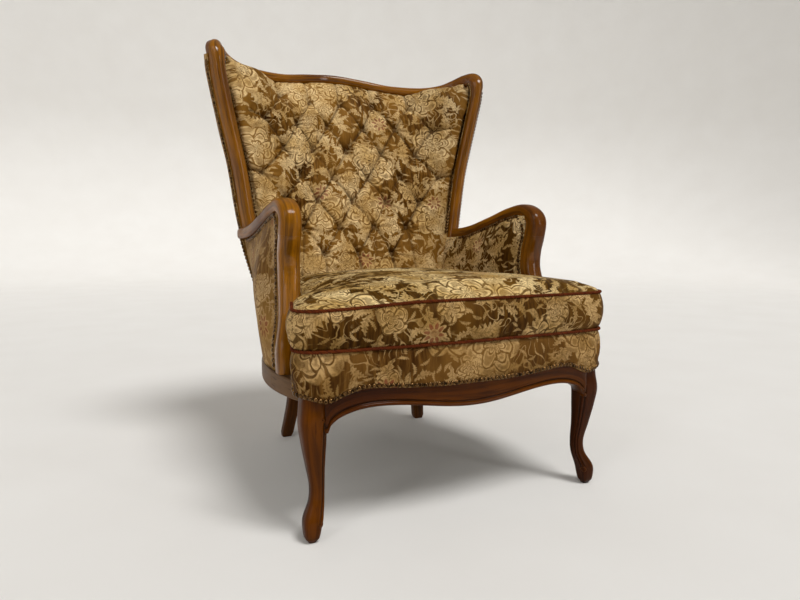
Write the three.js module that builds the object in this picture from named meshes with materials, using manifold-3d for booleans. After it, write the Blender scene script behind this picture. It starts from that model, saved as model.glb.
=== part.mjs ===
// A wing armchair with a carved show-wood frame, a sprung seat and a buttoned back.
// Millimetres, +Z up, +X to the right of someone facing the chair, the front towards -Y.
// Pieces are drawn with the four feet centred on the origin, and the finished chair is then
// moved so that the origin lies under the middle of its bounding box.
import * as THREE from 'three';
import { mergeVertices } from 'three/addons/utils/BufferGeometryUtils.js';
import Module from 'manifold-3d';

// Clearance between pieces that touch
const JOINT_GAP = 0.3;

// Seat outline
const SEAT_HALF_WIDTH = 345;
const SEAT_FRONT = 345;
const FRONT_SWEEP = 28;
const CORNER_RADIUS = 45;
const SEAT_REAR = 214;
const ARMS_INSET = 83.5;

// Seat frame
const RAIL_TOP = 285;
const RAIL_HEIGHT = 37;
const RAIL_THICKNESS = 34;
const SIDE_RAIL_BULGE = 63;
const SIDE_RAIL_BULGE_Y = -40;
const SIDE_RAIL_FRONT_END = { out: 10, back: 24 };
const SIDE_RAIL_REAR_END = { out: 14, back: 6 };
const FRONT_RAIL_INSET = 6;
const RAIL_END_IN_FRONT_LEG = 22;
const RAIL_END_IN_REAR_LEG = 6;
const APRON_MIDDLE = 222;
const APRON_ARCH = 240;
const APRON_ARCH_X = 195;
const BRACKET_DROP = 40;
const BRACKET_LENGTH = 76;

// Legs
const FRONT_FOOT_INSET = 32;
const FRONT_FOOT_Y = -299;
const REAR_FOOT_X = SEAT_HALF_WIDTH - 144;
const REAR_FOOT_Y = 297;
const REAR_LEG_X = SEAT_HALF_WIDTH - 160;
const REAR_LEG_HALF = 18;
const REAR_FOOT_HALF = 15;
const SABRE_BEND_SHARE = 0.45;
const SABRE_BEND_HEIGHT = 0.4 * RAIL_TOP;

// Arms
const ARM_TOP = 617;
const ARM_INSET = 51;
const ARM_HALF_WIDTH = 21.5;
const ARM_RAIL_HALF_DEPTH = 15;
const ARM_POST_HALF_DEPTH = 20;
const ARM_FOOT_Y = -190;
const ARM_FOOT_HALF = 16.5;
const ARM_FOOT_STRAIGHT = 40;
const ARM_POWERS = { frontPower: 2.8, backPower: 4 };
const ARM_PAD_THICKNESS = 24;
const ARM_PAD_BOTTOM = 300;
const ARM_PAD_FRONT = -100;
const ARM_PAD_REAR_GAP = 5;
const ARM_PAD_CLEARANCE = 9;
const OUTSIDE_ARM_FRONT = -108;
const OUTSIDE_ARM_FOOT_INSET = 3;
const OUTSIDE_ARM_HEAD_INSET = 5;
const OUTSIDE_ARM_REAR_INSET = 3;
const OUTSIDE_ARM_FLARE = 60;

// Back and wings
const EAR_TOP = 1014;
const WING_HALF_WIDTH = 16;
const WING_HALF_DEPTH = 23;
const WING_FOOT_Y = 217;
const WING_FOOT_INSET = 110;
const WING_FOOT_HALF_DEPTH = 15;
const WING_FOOT_STRAIGHT = 25;
const WING_FULL_DEPTH_Z = 517;
const WING_POWERS = { frontPower: 2.6, backPower: 4 };
const WING_TURN = 0.35;
const CREST_HALF_HEIGHT = 14;
const CREST_RISE = 28;
const CREST_DIP_BELOW_EAR = 46;
const CREST_DIP_INSET = 100;
const CREST_END_RISE = 15;
const CREST_JOINT_INSET = 47;
const CREST_SET_FORWARD = 18;
const BACK_REAR_Y = 303.5;
const BACK_RAKE = 0.24;
const PLAN_POWER_LOW = 3.6;
const PLAN_POWER_HIGH = 2.2;
const BACK_PAD_THICKNESS = 44;
const BACK_PAD_BOTTOM = 372;
const BACK_PAD_BELOW_EAR = 42;
const BACK_PAD_PLAN_POWER = 2.2;
const BACK_PAD_ROLL_START = 0.82;
const BACK_PAD_TOP_LOSS = 0.75;
const BACK_PAD_EDGE = { middle: -9, behind: 4, ahead: 10 };
const BACK_PAD_CLEARANCE = 3.2;
const OUTSIDE_BACK_INSET = 6;
const COVER_CLEARANCE = 1;
const STUFFING_RAIL_Z = 405;
const STUFFING_RAIL_HALF_HEIGHT = 20;
const STUFFING_RAIL_HALF_DEPTH = 12;

// Upholstery
const COVER_THICKNESS = 5;
const OUTSIDE_ARM_SWELL = 22;
const LOWER_WELT_Z = 346;
const UPPER_WELT_Z = 425;
const SEAT_CROWN = 36;
const SEAT_CROWN_START = 0.12;
const SEAT_NARROWING_Y = 20;
const SEAT_EAR_END = ARM_FOOT_Y - 25;
const SEAT_EAR_STRAIGHT = 30;
const SEAT_NECK_END = ARM_FOOT_Y + 45;
const BORDER_BOTTOM = 268;
const BORDER_THICKNESS = 14;
const BORDER_INSET = 2;
const WELT_RADIUS = 3.2;
const STRAP_THICKNESS = 2.5;
const STRAP_WIDTH = 50;
const STRAP_CLEARANCE = 2;
const STRAP_TACKING = 14;
const CROSS_STRAP_SPACING = 100;
const FIRST_CROSS_STRAP_Y = -140;
const BACK_STRAP_SPACING = 90;
const SPRING_HEIGHT = 84;
const SPRING_RADIUS = 31;
const SPRING_WAIST = 22;
const SPRING_WIRE_RADIUS = 1.8;
const SPRING_TURNS = 3;
const HESSIAN_THICKNESS = 2;
const POCKET_HALF_WIDTH = SEAT_HALF_WIDTH - 140;
const POCKET_FRONT = -250;
const POCKET_REAR = 180;
const DUST_COVER_THICKNESS = 1.5;

// Corner blocks and their screws
const BLOCK_ARM = 105;
const BLOCK_HEIGHT = 30;
const BLOCK_BELOW_RAIL_TOP = 4;
const FRONT_LEG_LEAN = 12;
const SCREW_SHANK_RADIUS = 2.2;
const SCREW_HEAD_RADIUS = 4.5;
const SCREW_HEAD_HEIGHT = 3;
const SCREW_LENGTH = 46;
const SCREW_POINT = 4;

// Finishes
const FINISH = {
  showWood: new THREE.MeshStandardMaterial({ color: 0x6e3a14, roughness: 0.3, metalness: 0 }),
  frameWood: new THREE.MeshStandardMaterial({ color: 0xb08a5a, roughness: 0.7, metalness: 0 }),
  velvet: new THREE.MeshStandardMaterial({ color: 0x8a6f3c, roughness: 0.9, metalness: 0 }),
  cord: new THREE.MeshStandardMaterial({ color: 0x74311c, roughness: 0.85, metalness: 0 }),
  webbing: new THREE.MeshStandardMaterial({ color: 0xa88d5e, roughness: 0.95, metalness: 0 }),
  dustCloth: new THREE.MeshStandardMaterial({ color: 0x1e1b18, roughness: 0.95, metalness: 0 }),
  steel: new THREE.MeshStandardMaterial({ color: 0x8f8f8c, roughness: 0.4, metalness: 1 }),
};

const wasm = await Module();
wasm.setup();

// Geometry helpers

const { lerp, smoothstep } = THREE.MathUtils;

// Volume of the tetrahedra from the origin to each face: negative when faces point inwards
function signedVolume(geometry) {
  const position = geometry.getAttribute('position');
  const index = geometry.getIndex();
  const corner = [new THREE.Vector3(), new THREE.Vector3(), new THREE.Vector3()];
  let volume = 0;
  for (let i = 0; i < index.count; i += 3) {
    corner.forEach((point, k) => point.fromBufferAttribute(position, index.getX(i + k)));
    volume += corner[0].dot(corner[1].clone().cross(corner[2])) / 6;
  }
  return volume;
}

// One closed skin: only positions, shared vertices merged, faces pointing out
function weld(geometry) {
  geometry.deleteAttribute('normal');
  geometry.deleteAttribute('uv');
  const skin = mergeVertices(geometry);
  if (signedVolume(skin) < 0) {
    const index = skin.getIndex();
    for (let i = 0; i < index.count; i += 3) {
      const second = index.getX(i + 1);
      index.setX(i + 1, index.getX(i + 2));
      index.setX(i + 2, second);
    }
  }
  return skin;
}

// Moves every vertex of a geometry with place, which changes the point it is given
function reshape(geometry, place) {
  const position = geometry.getAttribute('position');
  const point = new THREE.Vector3();
  for (let i = 0; i < position.count; i += 1) {
    point.fromBufferAttribute(position, i);
    place(point);
    position.setXYZ(i, point.x, point.y, point.z);
  }
  return weld(geometry);
}

// A box whose corners u, v, w from 0 to 1 are carried to place(u, v, w)
function slab(columns, layers, rows, place) {
  const geometry = new THREE.BoxGeometry(1, 1, 1, columns, layers, rows);
  return reshape(geometry, (point) => point.copy(place(point.x + 0.5, point.y + 0.5, point.z + 0.5)));
}

// A round number pushed towards a square: 2 leaves a circle, larger powers flatten the sides
function squared(value, power) {
  return Math.sign(value) * Math.abs(value) ** (2 / power);
}

// A bar along a curve. section(t, centre) gives half sizes across and ahead, and their powers;
// ahead(tangent, centre) gives the direction that the front of the bar faces.
function sweep(path, span, count, section, ahead) {
  const geometry = new THREE.CylinderGeometry(1, 1, 1, count.sides, count.steps);
  return reshape(geometry, (point) => {
    const t = lerp(span.from, span.to, point.y + 0.5);
    const centre = path.getPoint(t);
    const tangent = path.getTangent(t);
    const front = ahead(tangent, centre).projectOnPlane(tangent).normalize();
    const side = tangent.clone().cross(front);
    const size = section(t, centre);
    const power = point.z > 0 ? size.frontPower : size.backPower;
    const across = size.across * squared(point.x, power);
    const forward = size.ahead * squared(point.z, power);
    point.copy(centre).addScaledVector(side, across).addScaledVector(front, forward);
  });
}

// An upright post of level sections: profile(t) gives x, y, z and half, its half thickness
function post(sides, steps, power, profile) {
  const geometry = new THREE.CylinderGeometry(1, 1, 1, sides, steps);
  geometry.rotateY(Math.PI / sides);
  return reshape(geometry, (point) => {
    const place = profile(point.y + 0.5);
    const x = place.x + place.half * squared(point.x, power);
    const y = place.y + place.half * squared(point.z, power);
    point.set(x, y, place.z);
  });
}

function solidOf(geometry) {
  const vertProperties = new Float32Array(geometry.getAttribute('position').array);
  const triVerts = new Uint32Array(geometry.getIndex().array);
  return new wasm.Manifold(new wasm.Mesh({ numProp: 3, vertProperties, triVerts }));
}

function geometryOf(solid) {
  const mesh = solid.getMesh();
  const geometry = new THREE.BufferGeometry();
  geometry.setAttribute('position', new THREE.BufferAttribute(mesh.vertProperties, 3));
  geometry.setIndex(new THREE.BufferAttribute(mesh.triVerts, 1));
  return geometry;
}

// Takes the cutters away from a geometry
function cut(geometry, ...cutters) {
  let solid = solidOf(geometry);
  cutters.forEach((cutter) => {
    solid = solid.subtract(solidOf(cutter));
  });
  return geometryOf(solid);
}

// Value at a height on a list of [value, height] steps, straight between them
function heightTable(steps) {
  return (z) => {
    const last = steps.length - 1;
    const next = steps.findIndex((step) => step[1] >= z);
    if (next === 0) return steps[0][0];
    if (next < 0) return steps[last][0];
    const [low, high] = [steps[next - 1], steps[next]];
    return lerp(low[0], high[0], (z - low[1]) / (high[1] - low[1]));
  };
}

// Outlines that several pieces share

// Plan of the seat front: the face of the cover at x
function seatFrontY(x) {
  return -SEAT_FRONT + FRONT_SWEEP * (x / SEAT_HALF_WIDTH) ** 2;
}

// Plan of a side rail's outer face, from the front leg to the rear leg
const frontLegX = SEAT_HALF_WIDTH - FRONT_FOOT_INSET;
const sideRailFront = new THREE.Vector2(
  frontLegX + SIDE_RAIL_FRONT_END.out,
  FRONT_FOOT_Y + SIDE_RAIL_FRONT_END.back,
);

// Wing upright: [x, y, z] from the side rail to the outermost point of the ear
const wingRise = EAR_TOP - RAIL_TOP;
const wingShape = [
  [-83, 238, 0.186],
  [-50, 260, 0.38],
  [-27, 264, 0.594],
  [-9, 262, 0.711],
  [8, 257, 0.822],
  [19, 252, 0.905],
  [20, 251, 0.949],
].map(([out, y, rise]) => new THREE.Vector3(SEAT_HALF_WIDTH + out, y, RAIL_TOP + rise * wingRise));

const wingFootX = SEAT_HALF_WIDTH - WING_FOOT_INSET;
const wingX = heightTable([[wingFootX, RAIL_TOP], ...wingShape.map((p) => [p.x, p.z])]);
const wingY = heightTable([[WING_FOOT_Y, RAIL_TOP], ...wingShape.map((p) => [p.y, p.z])]);

// Plan of the back: the surface behind the frame, on which the outside cover lies
function backHalfWidth(z) {
  return wingX(z) + WING_HALF_WIDTH - OUTSIDE_BACK_INSET;
}

function backY(x, z) {
  const middle = BACK_REAR_Y + BACK_RAKE * (z - RAIL_TOP);
  const side = wingY(z) + WING_HALF_DEPTH + JOINT_GAP;
  const power = lerp(PLAN_POWER_LOW, PLAN_POWER_HIGH, (z - RAIL_TOP) / wingRise);
  return middle - (middle - side) * Math.min(1, Math.abs(x) / backHalfWidth(z)) ** power;
}

// Middle of a back upright at z: just inside the outside cover over its whole width
function stileY(z) {
  return backY(REAR_LEG_X + REAR_LEG_HALF, z) - REAR_LEG_HALF - COVER_CLEARANCE;
}

const rearLegY = stileY(RAIL_TOP);
const sideRailPlan = new THREE.QuadraticBezierCurve(
  sideRailFront,
  new THREE.Vector2(SEAT_HALF_WIDTH + SIDE_RAIL_BULGE, SIDE_RAIL_BULGE_Y),
  new THREE.Vector2(REAR_LEG_X + SIDE_RAIL_REAR_END.out, rearLegY + SIDE_RAIL_REAR_END.back),
);

// Outer face of a side rail at y
function sideRailX(y) {
  let [low, high] = [0, 1];
  for (let i = 0; i < 30; i += 1) {
    const middle = (low + high) / 2;
    if (sideRailPlan.getPoint(middle).y < y) low = middle;
    else high = middle;
  }
  return sideRailPlan.getPoint(low).x;
}

// Height of the middle of the crest rail at x
const dipX = SEAT_HALF_WIDTH - CREST_DIP_INSET;
const crestJointX = SEAT_HALF_WIDTH - CREST_JOINT_INSET;
function crestZ(x) {
  const out = Math.abs(x);
  const dip = EAR_TOP - CREST_DIP_BELOW_EAR;
  if (out < dipX) return dip + (CREST_RISE * (1 + Math.cos((Math.PI * out) / dipX))) / 2;
  return dip + CREST_END_RISE * ((out - dipX) / (crestJointX - dipX)) ** 2;
}

function crestY(x, z) {
  return backY(x, z) - CREST_SET_FORWARD;
}

// The show-wood loop: right upright, right ear, crest, left ear, left upright
const earShape = [[6, -17], [-22, -20], [-CREST_JOINT_INSET, -33]];
const earPoints = earShape.map(([out, drop]) => {
  const x = SEAT_HALF_WIDTH + out;
  const z = EAR_TOP + drop;
  return new THREE.Vector3(x, crestY(x, z), z);
});
const wingFoot = [0, WING_FOOT_STRAIGHT].map((up) => (
  new THREE.Vector3(wingFootX, WING_FOOT_Y, RAIL_TOP + JOINT_GAP + up)
));
const crestHalf = [1, 0.66, 0.33].map((share) => {
  const x = dipX * share;
  const z = crestZ(x);
  return new THREE.Vector3(x, crestY(x, z), z);
});
const rightLoop = [...wingFoot, ...wingShape, ...earPoints, ...crestHalf];
const crestMiddle = new THREE.Vector3(0, crestY(0, crestZ(0)), crestZ(0));
const leftLoop = rightLoop.map((p) => new THREE.Vector3(-p.x, p.y, p.z)).reverse();
const loopPath = new THREE.CatmullRomCurve3([...rightLoop, crestMiddle, ...leftLoop]);
const loopSteps = loopPath.points.length - 1;
const crestStart = (wingFoot.length + wingShape.length + earPoints.length - 1) / loopSteps;

// How far along a curve's parameter a small distance is, near t
function parameterFor(path, t, distance) {
  const reach = 0.001;
  return (2 * reach * distance) / path.getPoint(t - reach).distanceTo(path.getPoint(t + reach));
}

function loopPiece(from, to, steps, grow) {
  const section = (t, centre) => {
    const toEar = smoothstep(Math.abs(centre.x), dipX, SEAT_HALF_WIDTH);
    const half = centre.z < EAR_TOP - 2 * CREST_DIP_BELOW_EAR ? WING_HALF_WIDTH
      : lerp(CREST_HALF_HEIGHT, WING_HALF_WIDTH, toEar);
    const upFromFoot = smoothstep(centre.z, RAIL_TOP, WING_FULL_DEPTH_Z);
    const depth = lerp(WING_FOOT_HALF_DEPTH, WING_HALF_DEPTH, upFromFoot);
    return { across: half + grow, ahead: depth + grow, ...WING_POWERS };
  };
  const ahead = (tangent, centre) => {
    const turn = (WING_TURN * centre.x) / SEAT_HALF_WIDTH;
    return new THREE.Vector3(-Math.sin(turn), -Math.cos(turn), 0);
  };
  return sweep(loopPath, { from, to }, { sides: 12, steps }, section, ahead);
}

const loopGap = parameterFor(loopPath, crestStart, JOINT_GAP / 2);
function wingPost(side, grow = 0) {
  const [from, to] = [0, crestStart - loopGap];
  return side > 0 ? loopPiece(from, to, 26, grow) : loopPiece(1 - to, 1 - from, 26, grow);
}

function crestRail(grow = 0) {
  return loopPiece(crestStart + loopGap, 1 - crestStart - loopGap, 18, grow);
}

// The arm: rail from the wing forwards, round the hand hold, then the post down to the side rail
const armX = SEAT_HALF_WIDTH - ARM_INSET;
const armFootX = sideRailX(ARM_FOOT_Y) - RAIL_THICKNESS / 2;
const armShape = [
  [8, 272, -68], [7, 200, -65], [6, 142, -58], [4, 47, -38], [2, -42, -18], [2, -96, -15], [2, -130, -37],
  [2, -126, -72], [2, -114, -112], [2, -114, -157], [12, -145, -232],
];
const armRailPoints = 8;

function armPath(side) {
  const upper = armShape.map(([out, y, drop]) => (
    new THREE.Vector3(side * (armX + out), y, ARM_TOP + drop)
  ));
  const foot = [ARM_FOOT_STRAIGHT, 0].map((up) => (
    new THREE.Vector3(side * armFootX, ARM_FOOT_Y, RAIL_TOP + JOINT_GAP + up)
  ));
  return new THREE.CatmullRomCurve3([...upper, ...foot]);
}

const armJoint = (armRailPoints - 1) / (armShape.length + 1);
const thickeningStart = armJoint - 0.2;
const footTaperStart = 0.75;
function armPiece(side, from, to, steps, grow) {
  const path = armPath(side);
  const section = (t) => {
    const toPost = smoothstep(t, thickeningStart, armJoint);
    const toFoot = smoothstep(t, footTaperStart, 1);
    return {
      across: lerp(ARM_HALF_WIDTH, ARM_FOOT_HALF, toFoot) + grow,
      ahead: lerp(ARM_RAIL_HALF_DEPTH, ARM_POST_HALF_DEPTH, toPost) + grow,
      ...ARM_POWERS,
    };
  };
  const ahead = (tangent) => tangent.clone().cross(new THREE.Vector3(1, 0, 0));
  return sweep(path, { from, to }, { sides: 12, steps }, section, ahead);
}

function armRail(side, grow = 0) {
  const gap = parameterFor(armPath(side), armJoint, JOINT_GAP / 2);
  return armPiece(side, 0, armJoint - gap, 14, grow);
}

function armPost(side, grow = 0) {
  const gap = parameterFor(armPath(side), armJoint, JOINT_GAP / 2);
  return armPiece(side, armJoint + gap, 1, 10, grow);
}

// Underside of an arm rail at y
const armUnderside = heightTable(
  armShape.slice(0, 6).map(([, y, drop]) => [ARM_TOP + drop - ARM_RAIL_HALF_DEPTH, y]).reverse(),
);

// Legs

// [offset along the outward diagonal, half thickness, height] from the floor to the top of the rails
const cabriole = new THREE.CatmullRomCurve3([
  [0, 10.5, 0], [0, 14.5, 15], [-3, 17, 40], [-17, 13, 70], [-19.5, 12.5, 95],
  [-14, 16, 135], [-9, 21, 180], [-7, 24, 215], [-12, 24.5, 245], [-16, 24.5, RAIL_TOP],
].map((p) => new THREE.Vector3(...p)));

function frontLeg(side, grow = 0) {
  return post(12, 18, 4, (t) => {
    const at = cabriole.getPoint(t);
    const shift = at.x * Math.SQRT1_2;
    return { x: side * (frontLegX + shift), y: FRONT_FOOT_Y - shift, z: at.z, half: at.y + grow };
  });
}

// Rear leg: sabre foot below the rails, then a hidden upright of the back up to the crest
const stileTop = crestZ(REAR_LEG_X) - CREST_HALF_HEIGHT - JOINT_GAP;
const stilePoints = [0, 0.2, 0.4, 0.6, 0.8, 1].map((share) => {
  const z = lerp(RAIL_TOP, stileTop, share);
  return new THREE.Vector3(REAR_LEG_X, stileY(z), z);
});
const rearLegPath = new THREE.CatmullRomCurve3([
  new THREE.Vector3(REAR_FOOT_X, REAR_FOOT_Y, 0),
  new THREE.Vector3(REAR_LEG_X, lerp(rearLegY, REAR_FOOT_Y, SABRE_BEND_SHARE), SABRE_BEND_HEIGHT),
  new THREE.Vector3(REAR_LEG_X, rearLegY, RAIL_TOP - RAIL_HEIGHT),
  ...stilePoints,
]);

function rearLeg(side, grow = 0) {
  return post(8, 20, 6, (t) => {
    const at = rearLegPath.getPoint(t);
    const half = lerp(REAR_FOOT_HALF, REAR_LEG_HALF, Math.min(1, at.z / (RAIL_TOP - RAIL_HEIGHT)));
    return { x: side * at.x, y: at.y, z: at.z, half: half + grow };
  });
}

// Rails

function apronBottom(x) {
  const out = Math.abs(x);
  const rise = APRON_ARCH - APRON_MIDDLE;
  if (out < APRON_ARCH_X) {
    return APRON_MIDDLE + (rise * (1 - Math.cos((Math.PI * out) / APRON_ARCH_X))) / 2;
  }
  const along = Math.min(1, (out - APRON_ARCH_X) / BRACKET_LENGTH);
  return APRON_ARCH - BRACKET_DROP * (1 - Math.sqrt(1 - along ** 2));
}

function frontRail(grow = 0) {
  const half = frontLegX - RAIL_END_IN_FRONT_LEG;
  return slab(26, 1, 1, (u, v, w) => {
    const x = lerp(-half, half, u);
    const face = seatFrontY(x) + FRONT_RAIL_INSET;
    const z = lerp(apronBottom(x) - grow, RAIL_TOP + grow, w);
    return new THREE.Vector3(x, lerp(face - grow, face + RAIL_THICKNESS + grow, v), z);
  });
}

function sideRail(side, grow = 0) {
  return slab(14, 1, 1, (u, v, w) => {
    const face = sideRailPlan.getPoint(u);
    const along = sideRailPlan.getTangent(u);
    const inwards = lerp(-grow, RAIL_THICKNESS + grow, v);
    const x = face.x - along.y * inwards;
    const y = face.y + along.x * inwards;
    return new THREE.Vector3(side * x, y, lerp(RAIL_TOP - RAIL_HEIGHT - grow, RAIL_TOP + grow, w));
  });
}

function backRail(grow = 0) {
  const half = REAR_LEG_X - RAIL_END_IN_REAR_LEG;
  return slab(10, 1, 1, (u, v, w) => {
    const x = lerp(-half, half, u);
    const face = backY(x, RAIL_TOP);
    const y = lerp(face - RAIL_THICKNESS - grow, face + grow, v);
    return new THREE.Vector3(x, y, lerp(RAIL_TOP - RAIL_HEIGHT - grow, RAIL_TOP + grow, w));
  });
}

// Rail across the back uprights to which the bottom of the inside back is tacked
const stuffingRailY = stileY(STUFFING_RAIL_Z);
function stuffingRail() {
  const half = [REAR_LEG_X - RAIL_END_IN_REAR_LEG, STUFFING_RAIL_HALF_DEPTH, STUFFING_RAIL_HALF_HEIGHT];
  const bar = weld(new THREE.BoxGeometry(...half.map((size) => 2 * size)));
  return bar.translate(0, stuffingRailY, STUFFING_RAIL_Z);
}

// Corner blocks and screws

function triangle(points, bottom, height) {
  const outline = new THREE.Shape(points.map(([x, y]) => new THREE.Vector2(x, y)));
  const prism = new THREE.ExtrudeGeometry(outline, { depth: height, bevelEnabled: false });
  return weld(prism.translate(0, 0, bottom));
}

const blockBottom = RAIL_TOP - BLOCK_HEIGHT - BLOCK_BELOW_RAIL_TOP;
const blockMiddle = blockBottom + BLOCK_HEIGHT / 2;

// The leg that a corner block braces, and the way from it to the middle of the seat
function cornerOf(side, end) {
  if (end === 'rear') return { x: side * REAR_LEG_X, y: rearLegY, inX: -side, inY: -1 };
  return { x: side * (frontLegX - FRONT_LEG_LEAN), y: FRONT_FOOT_Y + FRONT_LEG_LEAN, inX: -side, inY: 1 };
}

function cornerBlock(side, end, grow = 0) {
  const corner = cornerOf(side, end);
  const reach = BLOCK_ARM + grow;
  const points = [
    [corner.x, corner.y],
    [corner.x + corner.inX * reach, corner.y],
    [corner.x, corner.y + corner.inY * reach],
  ];
  return triangle(points, blockBottom - grow, BLOCK_HEIGHT + 2 * grow);
}

// Turned screw whose head sits on the block's long face and whose shank runs into the leg
function blockScrew(side, end, grow = 0) {
  const shank = SCREW_SHANK_RADIUS + grow;
  const head = SCREW_HEAD_RADIUS + grow;
  const outline = [
    [0, -SCREW_LENGTH - grow],
    [shank, SCREW_POINT - SCREW_LENGTH],
    [shank, JOINT_GAP - grow],
    [head, JOINT_GAP - grow],
    [head, JOINT_GAP + SCREW_HEAD_HEIGHT / 2],
    [head * 0.6, JOINT_GAP + SCREW_HEAD_HEIGHT + grow],
    [0, JOINT_GAP + SCREW_HEAD_HEIGHT + grow],
  ].map(([r, along]) => new THREE.Vector2(r, along));
  const screw = weld(new THREE.LatheGeometry(outline, 10));
  const corner = cornerOf(side, end);
  const inwards = new THREE.Vector3(corner.inX, corner.inY, 0).normalize();
  screw.applyQuaternion(new THREE.Quaternion().setFromUnitVectors(new THREE.Vector3(0, 1, 0), inwards));
  const x = corner.x + (corner.inX * BLOCK_ARM) / 2;
  const y = corner.y + (corner.inY * BLOCK_ARM) / 2;
  return screw.translate(x, y, blockMiddle);
}

// Springing of the seat

// The outermost lengthways straps run between the rear legs
const strapSpacing = (REAR_LEG_X - REAR_LEG_HALF - STRAP_WIDTH / 2 - STRAP_CLEARANCE) / 2;
const strapBottom = RAIL_TOP + JOINT_GAP;
const crossStrapBottom = strapBottom + STRAP_THICKNESS + JOINT_GAP;
const springFoot = crossStrapBottom + STRAP_THICKNESS + JOINT_GAP;
const hessianBottom = springFoot + SPRING_HEIGHT + JOINT_GAP;
const pocketTop = hessianBottom + HESSIAN_THICKNESS + JOINT_GAP;

function lengthStrap(x) {
  const front = seatFrontY(x) + FRONT_RAIL_INSET + BORDER_THICKNESS;
  const rear = backY(x, RAIL_TOP) - RAIL_THICKNESS / 2;
  const strap = weld(new THREE.BoxGeometry(STRAP_WIDTH, rear - front, STRAP_THICKNESS));
  return strap.translate(x, (front + rear) / 2, strapBottom + STRAP_THICKNESS / 2);
}

// A strap from side rail to side rail, over the lengthways straps and down on to the rails
function crossStrap(y) {
  const narrowest = Math.min(sideRailX(y - STRAP_WIDTH / 2), sideRailX(y + STRAP_WIDTH / 2));
  const half = narrowest - RAIL_THICKNESS + STRAP_TACKING;
  const outerStrap = 2 * strapSpacing + STRAP_WIDTH / 2;
  const landing = narrowest - RAIL_THICKNESS - STRAP_CLEARANCE;
  return slab(24, 1, 1, (u, v, w) => {
    const x = lerp(-half, half, u);
    const down = smoothstep(Math.abs(x), outerStrap, Math.max(landing, outerStrap + 1));
    const bottom = lerp(crossStrapBottom, strapBottom, down);
    return new THREE.Vector3(x, y + (v - 0.5) * STRAP_WIDTH, bottom + w * STRAP_THICKNESS);
  });
}

class SpringCoil extends THREE.Curve {
  getPoint(t) {
    const angle = 2 * Math.PI * SPRING_TURNS * t;
    const radius = lerp(SPRING_WAIST, SPRING_RADIUS, (2 * t - 1) ** 2);
    const height = lerp(SPRING_WIRE_RADIUS, SPRING_HEIGHT - SPRING_WIRE_RADIUS, t);
    return new THREE.Vector3(radius * Math.cos(angle), radius * Math.sin(angle), height);
  }
}

function spring(x, y) {
  const round = { across: SPRING_WIRE_RADIUS, ahead: SPRING_WIRE_RADIUS, frontPower: 2, backPower: 2 };
  const fromAxis = (tangent, centre) => new THREE.Vector3(centre.x, centre.y, 0);
  const coil = sweep(new SpringCoil(), { from: 0, to: 1 }, { sides: 5, steps: 22 }, () => round, fromAxis);
  coil.computeBoundingBox();
  return coil.translate(x, y, springFoot - coil.boundingBox.min.z);
}

function hessian() {
  const [width, depth] = [2 * (POCKET_HALF_WIDTH - JOINT_GAP), POCKET_REAR - POCKET_FRONT - 2 * JOINT_GAP];
  const sheet = weld(new THREE.BoxGeometry(width, depth, HESSIAN_THICKNESS));
  return sheet.translate(0, (POCKET_FRONT + POCKET_REAR) / 2, hessianBottom + HESSIAN_THICKNESS / 2);
}

// Seat upholstery

const cornerX = SEAT_HALF_WIDTH - CORNER_RADIUS;
const cornerY = seatFrontY(cornerX) + CORNER_RADIUS;
const armsInside = SEAT_HALF_WIDTH - ARMS_INSET;

// Half width of the seat at y: full in front of the arm posts, narrower between the arms
function seatHalfWidth(y) {
  if (y < cornerY) return cornerX + Math.sqrt(Math.max(0, CORNER_RADIUS ** 2 - (cornerY - y) ** 2));
  const towardsRear = smoothstep(y, SEAT_NARROWING_Y, SEAT_REAR);
  const betweenArms = lerp(armsInside - 2 * JOINT_GAP, wingFootX - WING_HALF_WIDTH, towardsRear);
  return lerp(SEAT_HALF_WIDTH, betweenArms, smoothstep(y, SEAT_EAR_END, SEAT_NECK_END));
}

// The seat's edge in plan, from the right arm post round the front to the left one
const earSide = [0, SEAT_EAR_STRAIGHT].map((ahead) => (
  new THREE.Vector2(SEAT_HALF_WIDTH, SEAT_EAR_END - ahead)
));
const cornerArc = [0, 0.25, 0.5, 0.75, 1].map((share) => {
  const angle = (share * Math.PI) / 2;
  const x = cornerX + CORNER_RADIUS * Math.cos(angle);
  return new THREE.Vector2(x, cornerY - CORNER_RADIUS * Math.sin(angle));
});
const frontHalf = [0.66, 0.33].map((share) => (
  new THREE.Vector2(share * cornerX, seatFrontY(share * cornerX))
));
const rightEdge = [...earSide, ...cornerArc, ...frontHalf];
const leftEdge = rightEdge.map((p) => new THREE.Vector2(-p.x, p.y)).reverse();
const edgePoints = [...rightEdge, new THREE.Vector2(0, -SEAT_FRONT), ...leftEdge];
const seatEdge = new THREE.CatmullRomCurve3(edgePoints.map((p) => new THREE.Vector3(p.x, p.y, 0)));

function outwardsAt(tangent) {
  return tangent.clone().cross(new THREE.Vector3(0, 0, -1)).normalize();
}

// Height of the stuffing over the seat's edge: side from -1 to 1, v from the front to the rear
function seatCrown(side, v) {
  const across = (1 - side ** 2) ** 0.8;
  const along = Math.sin(Math.PI * (0.08 + 0.8 * v)) ** 0.7;
  return SEAT_CROWN * across * along * smoothstep(v, 0, SEAT_CROWN_START);
}

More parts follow.
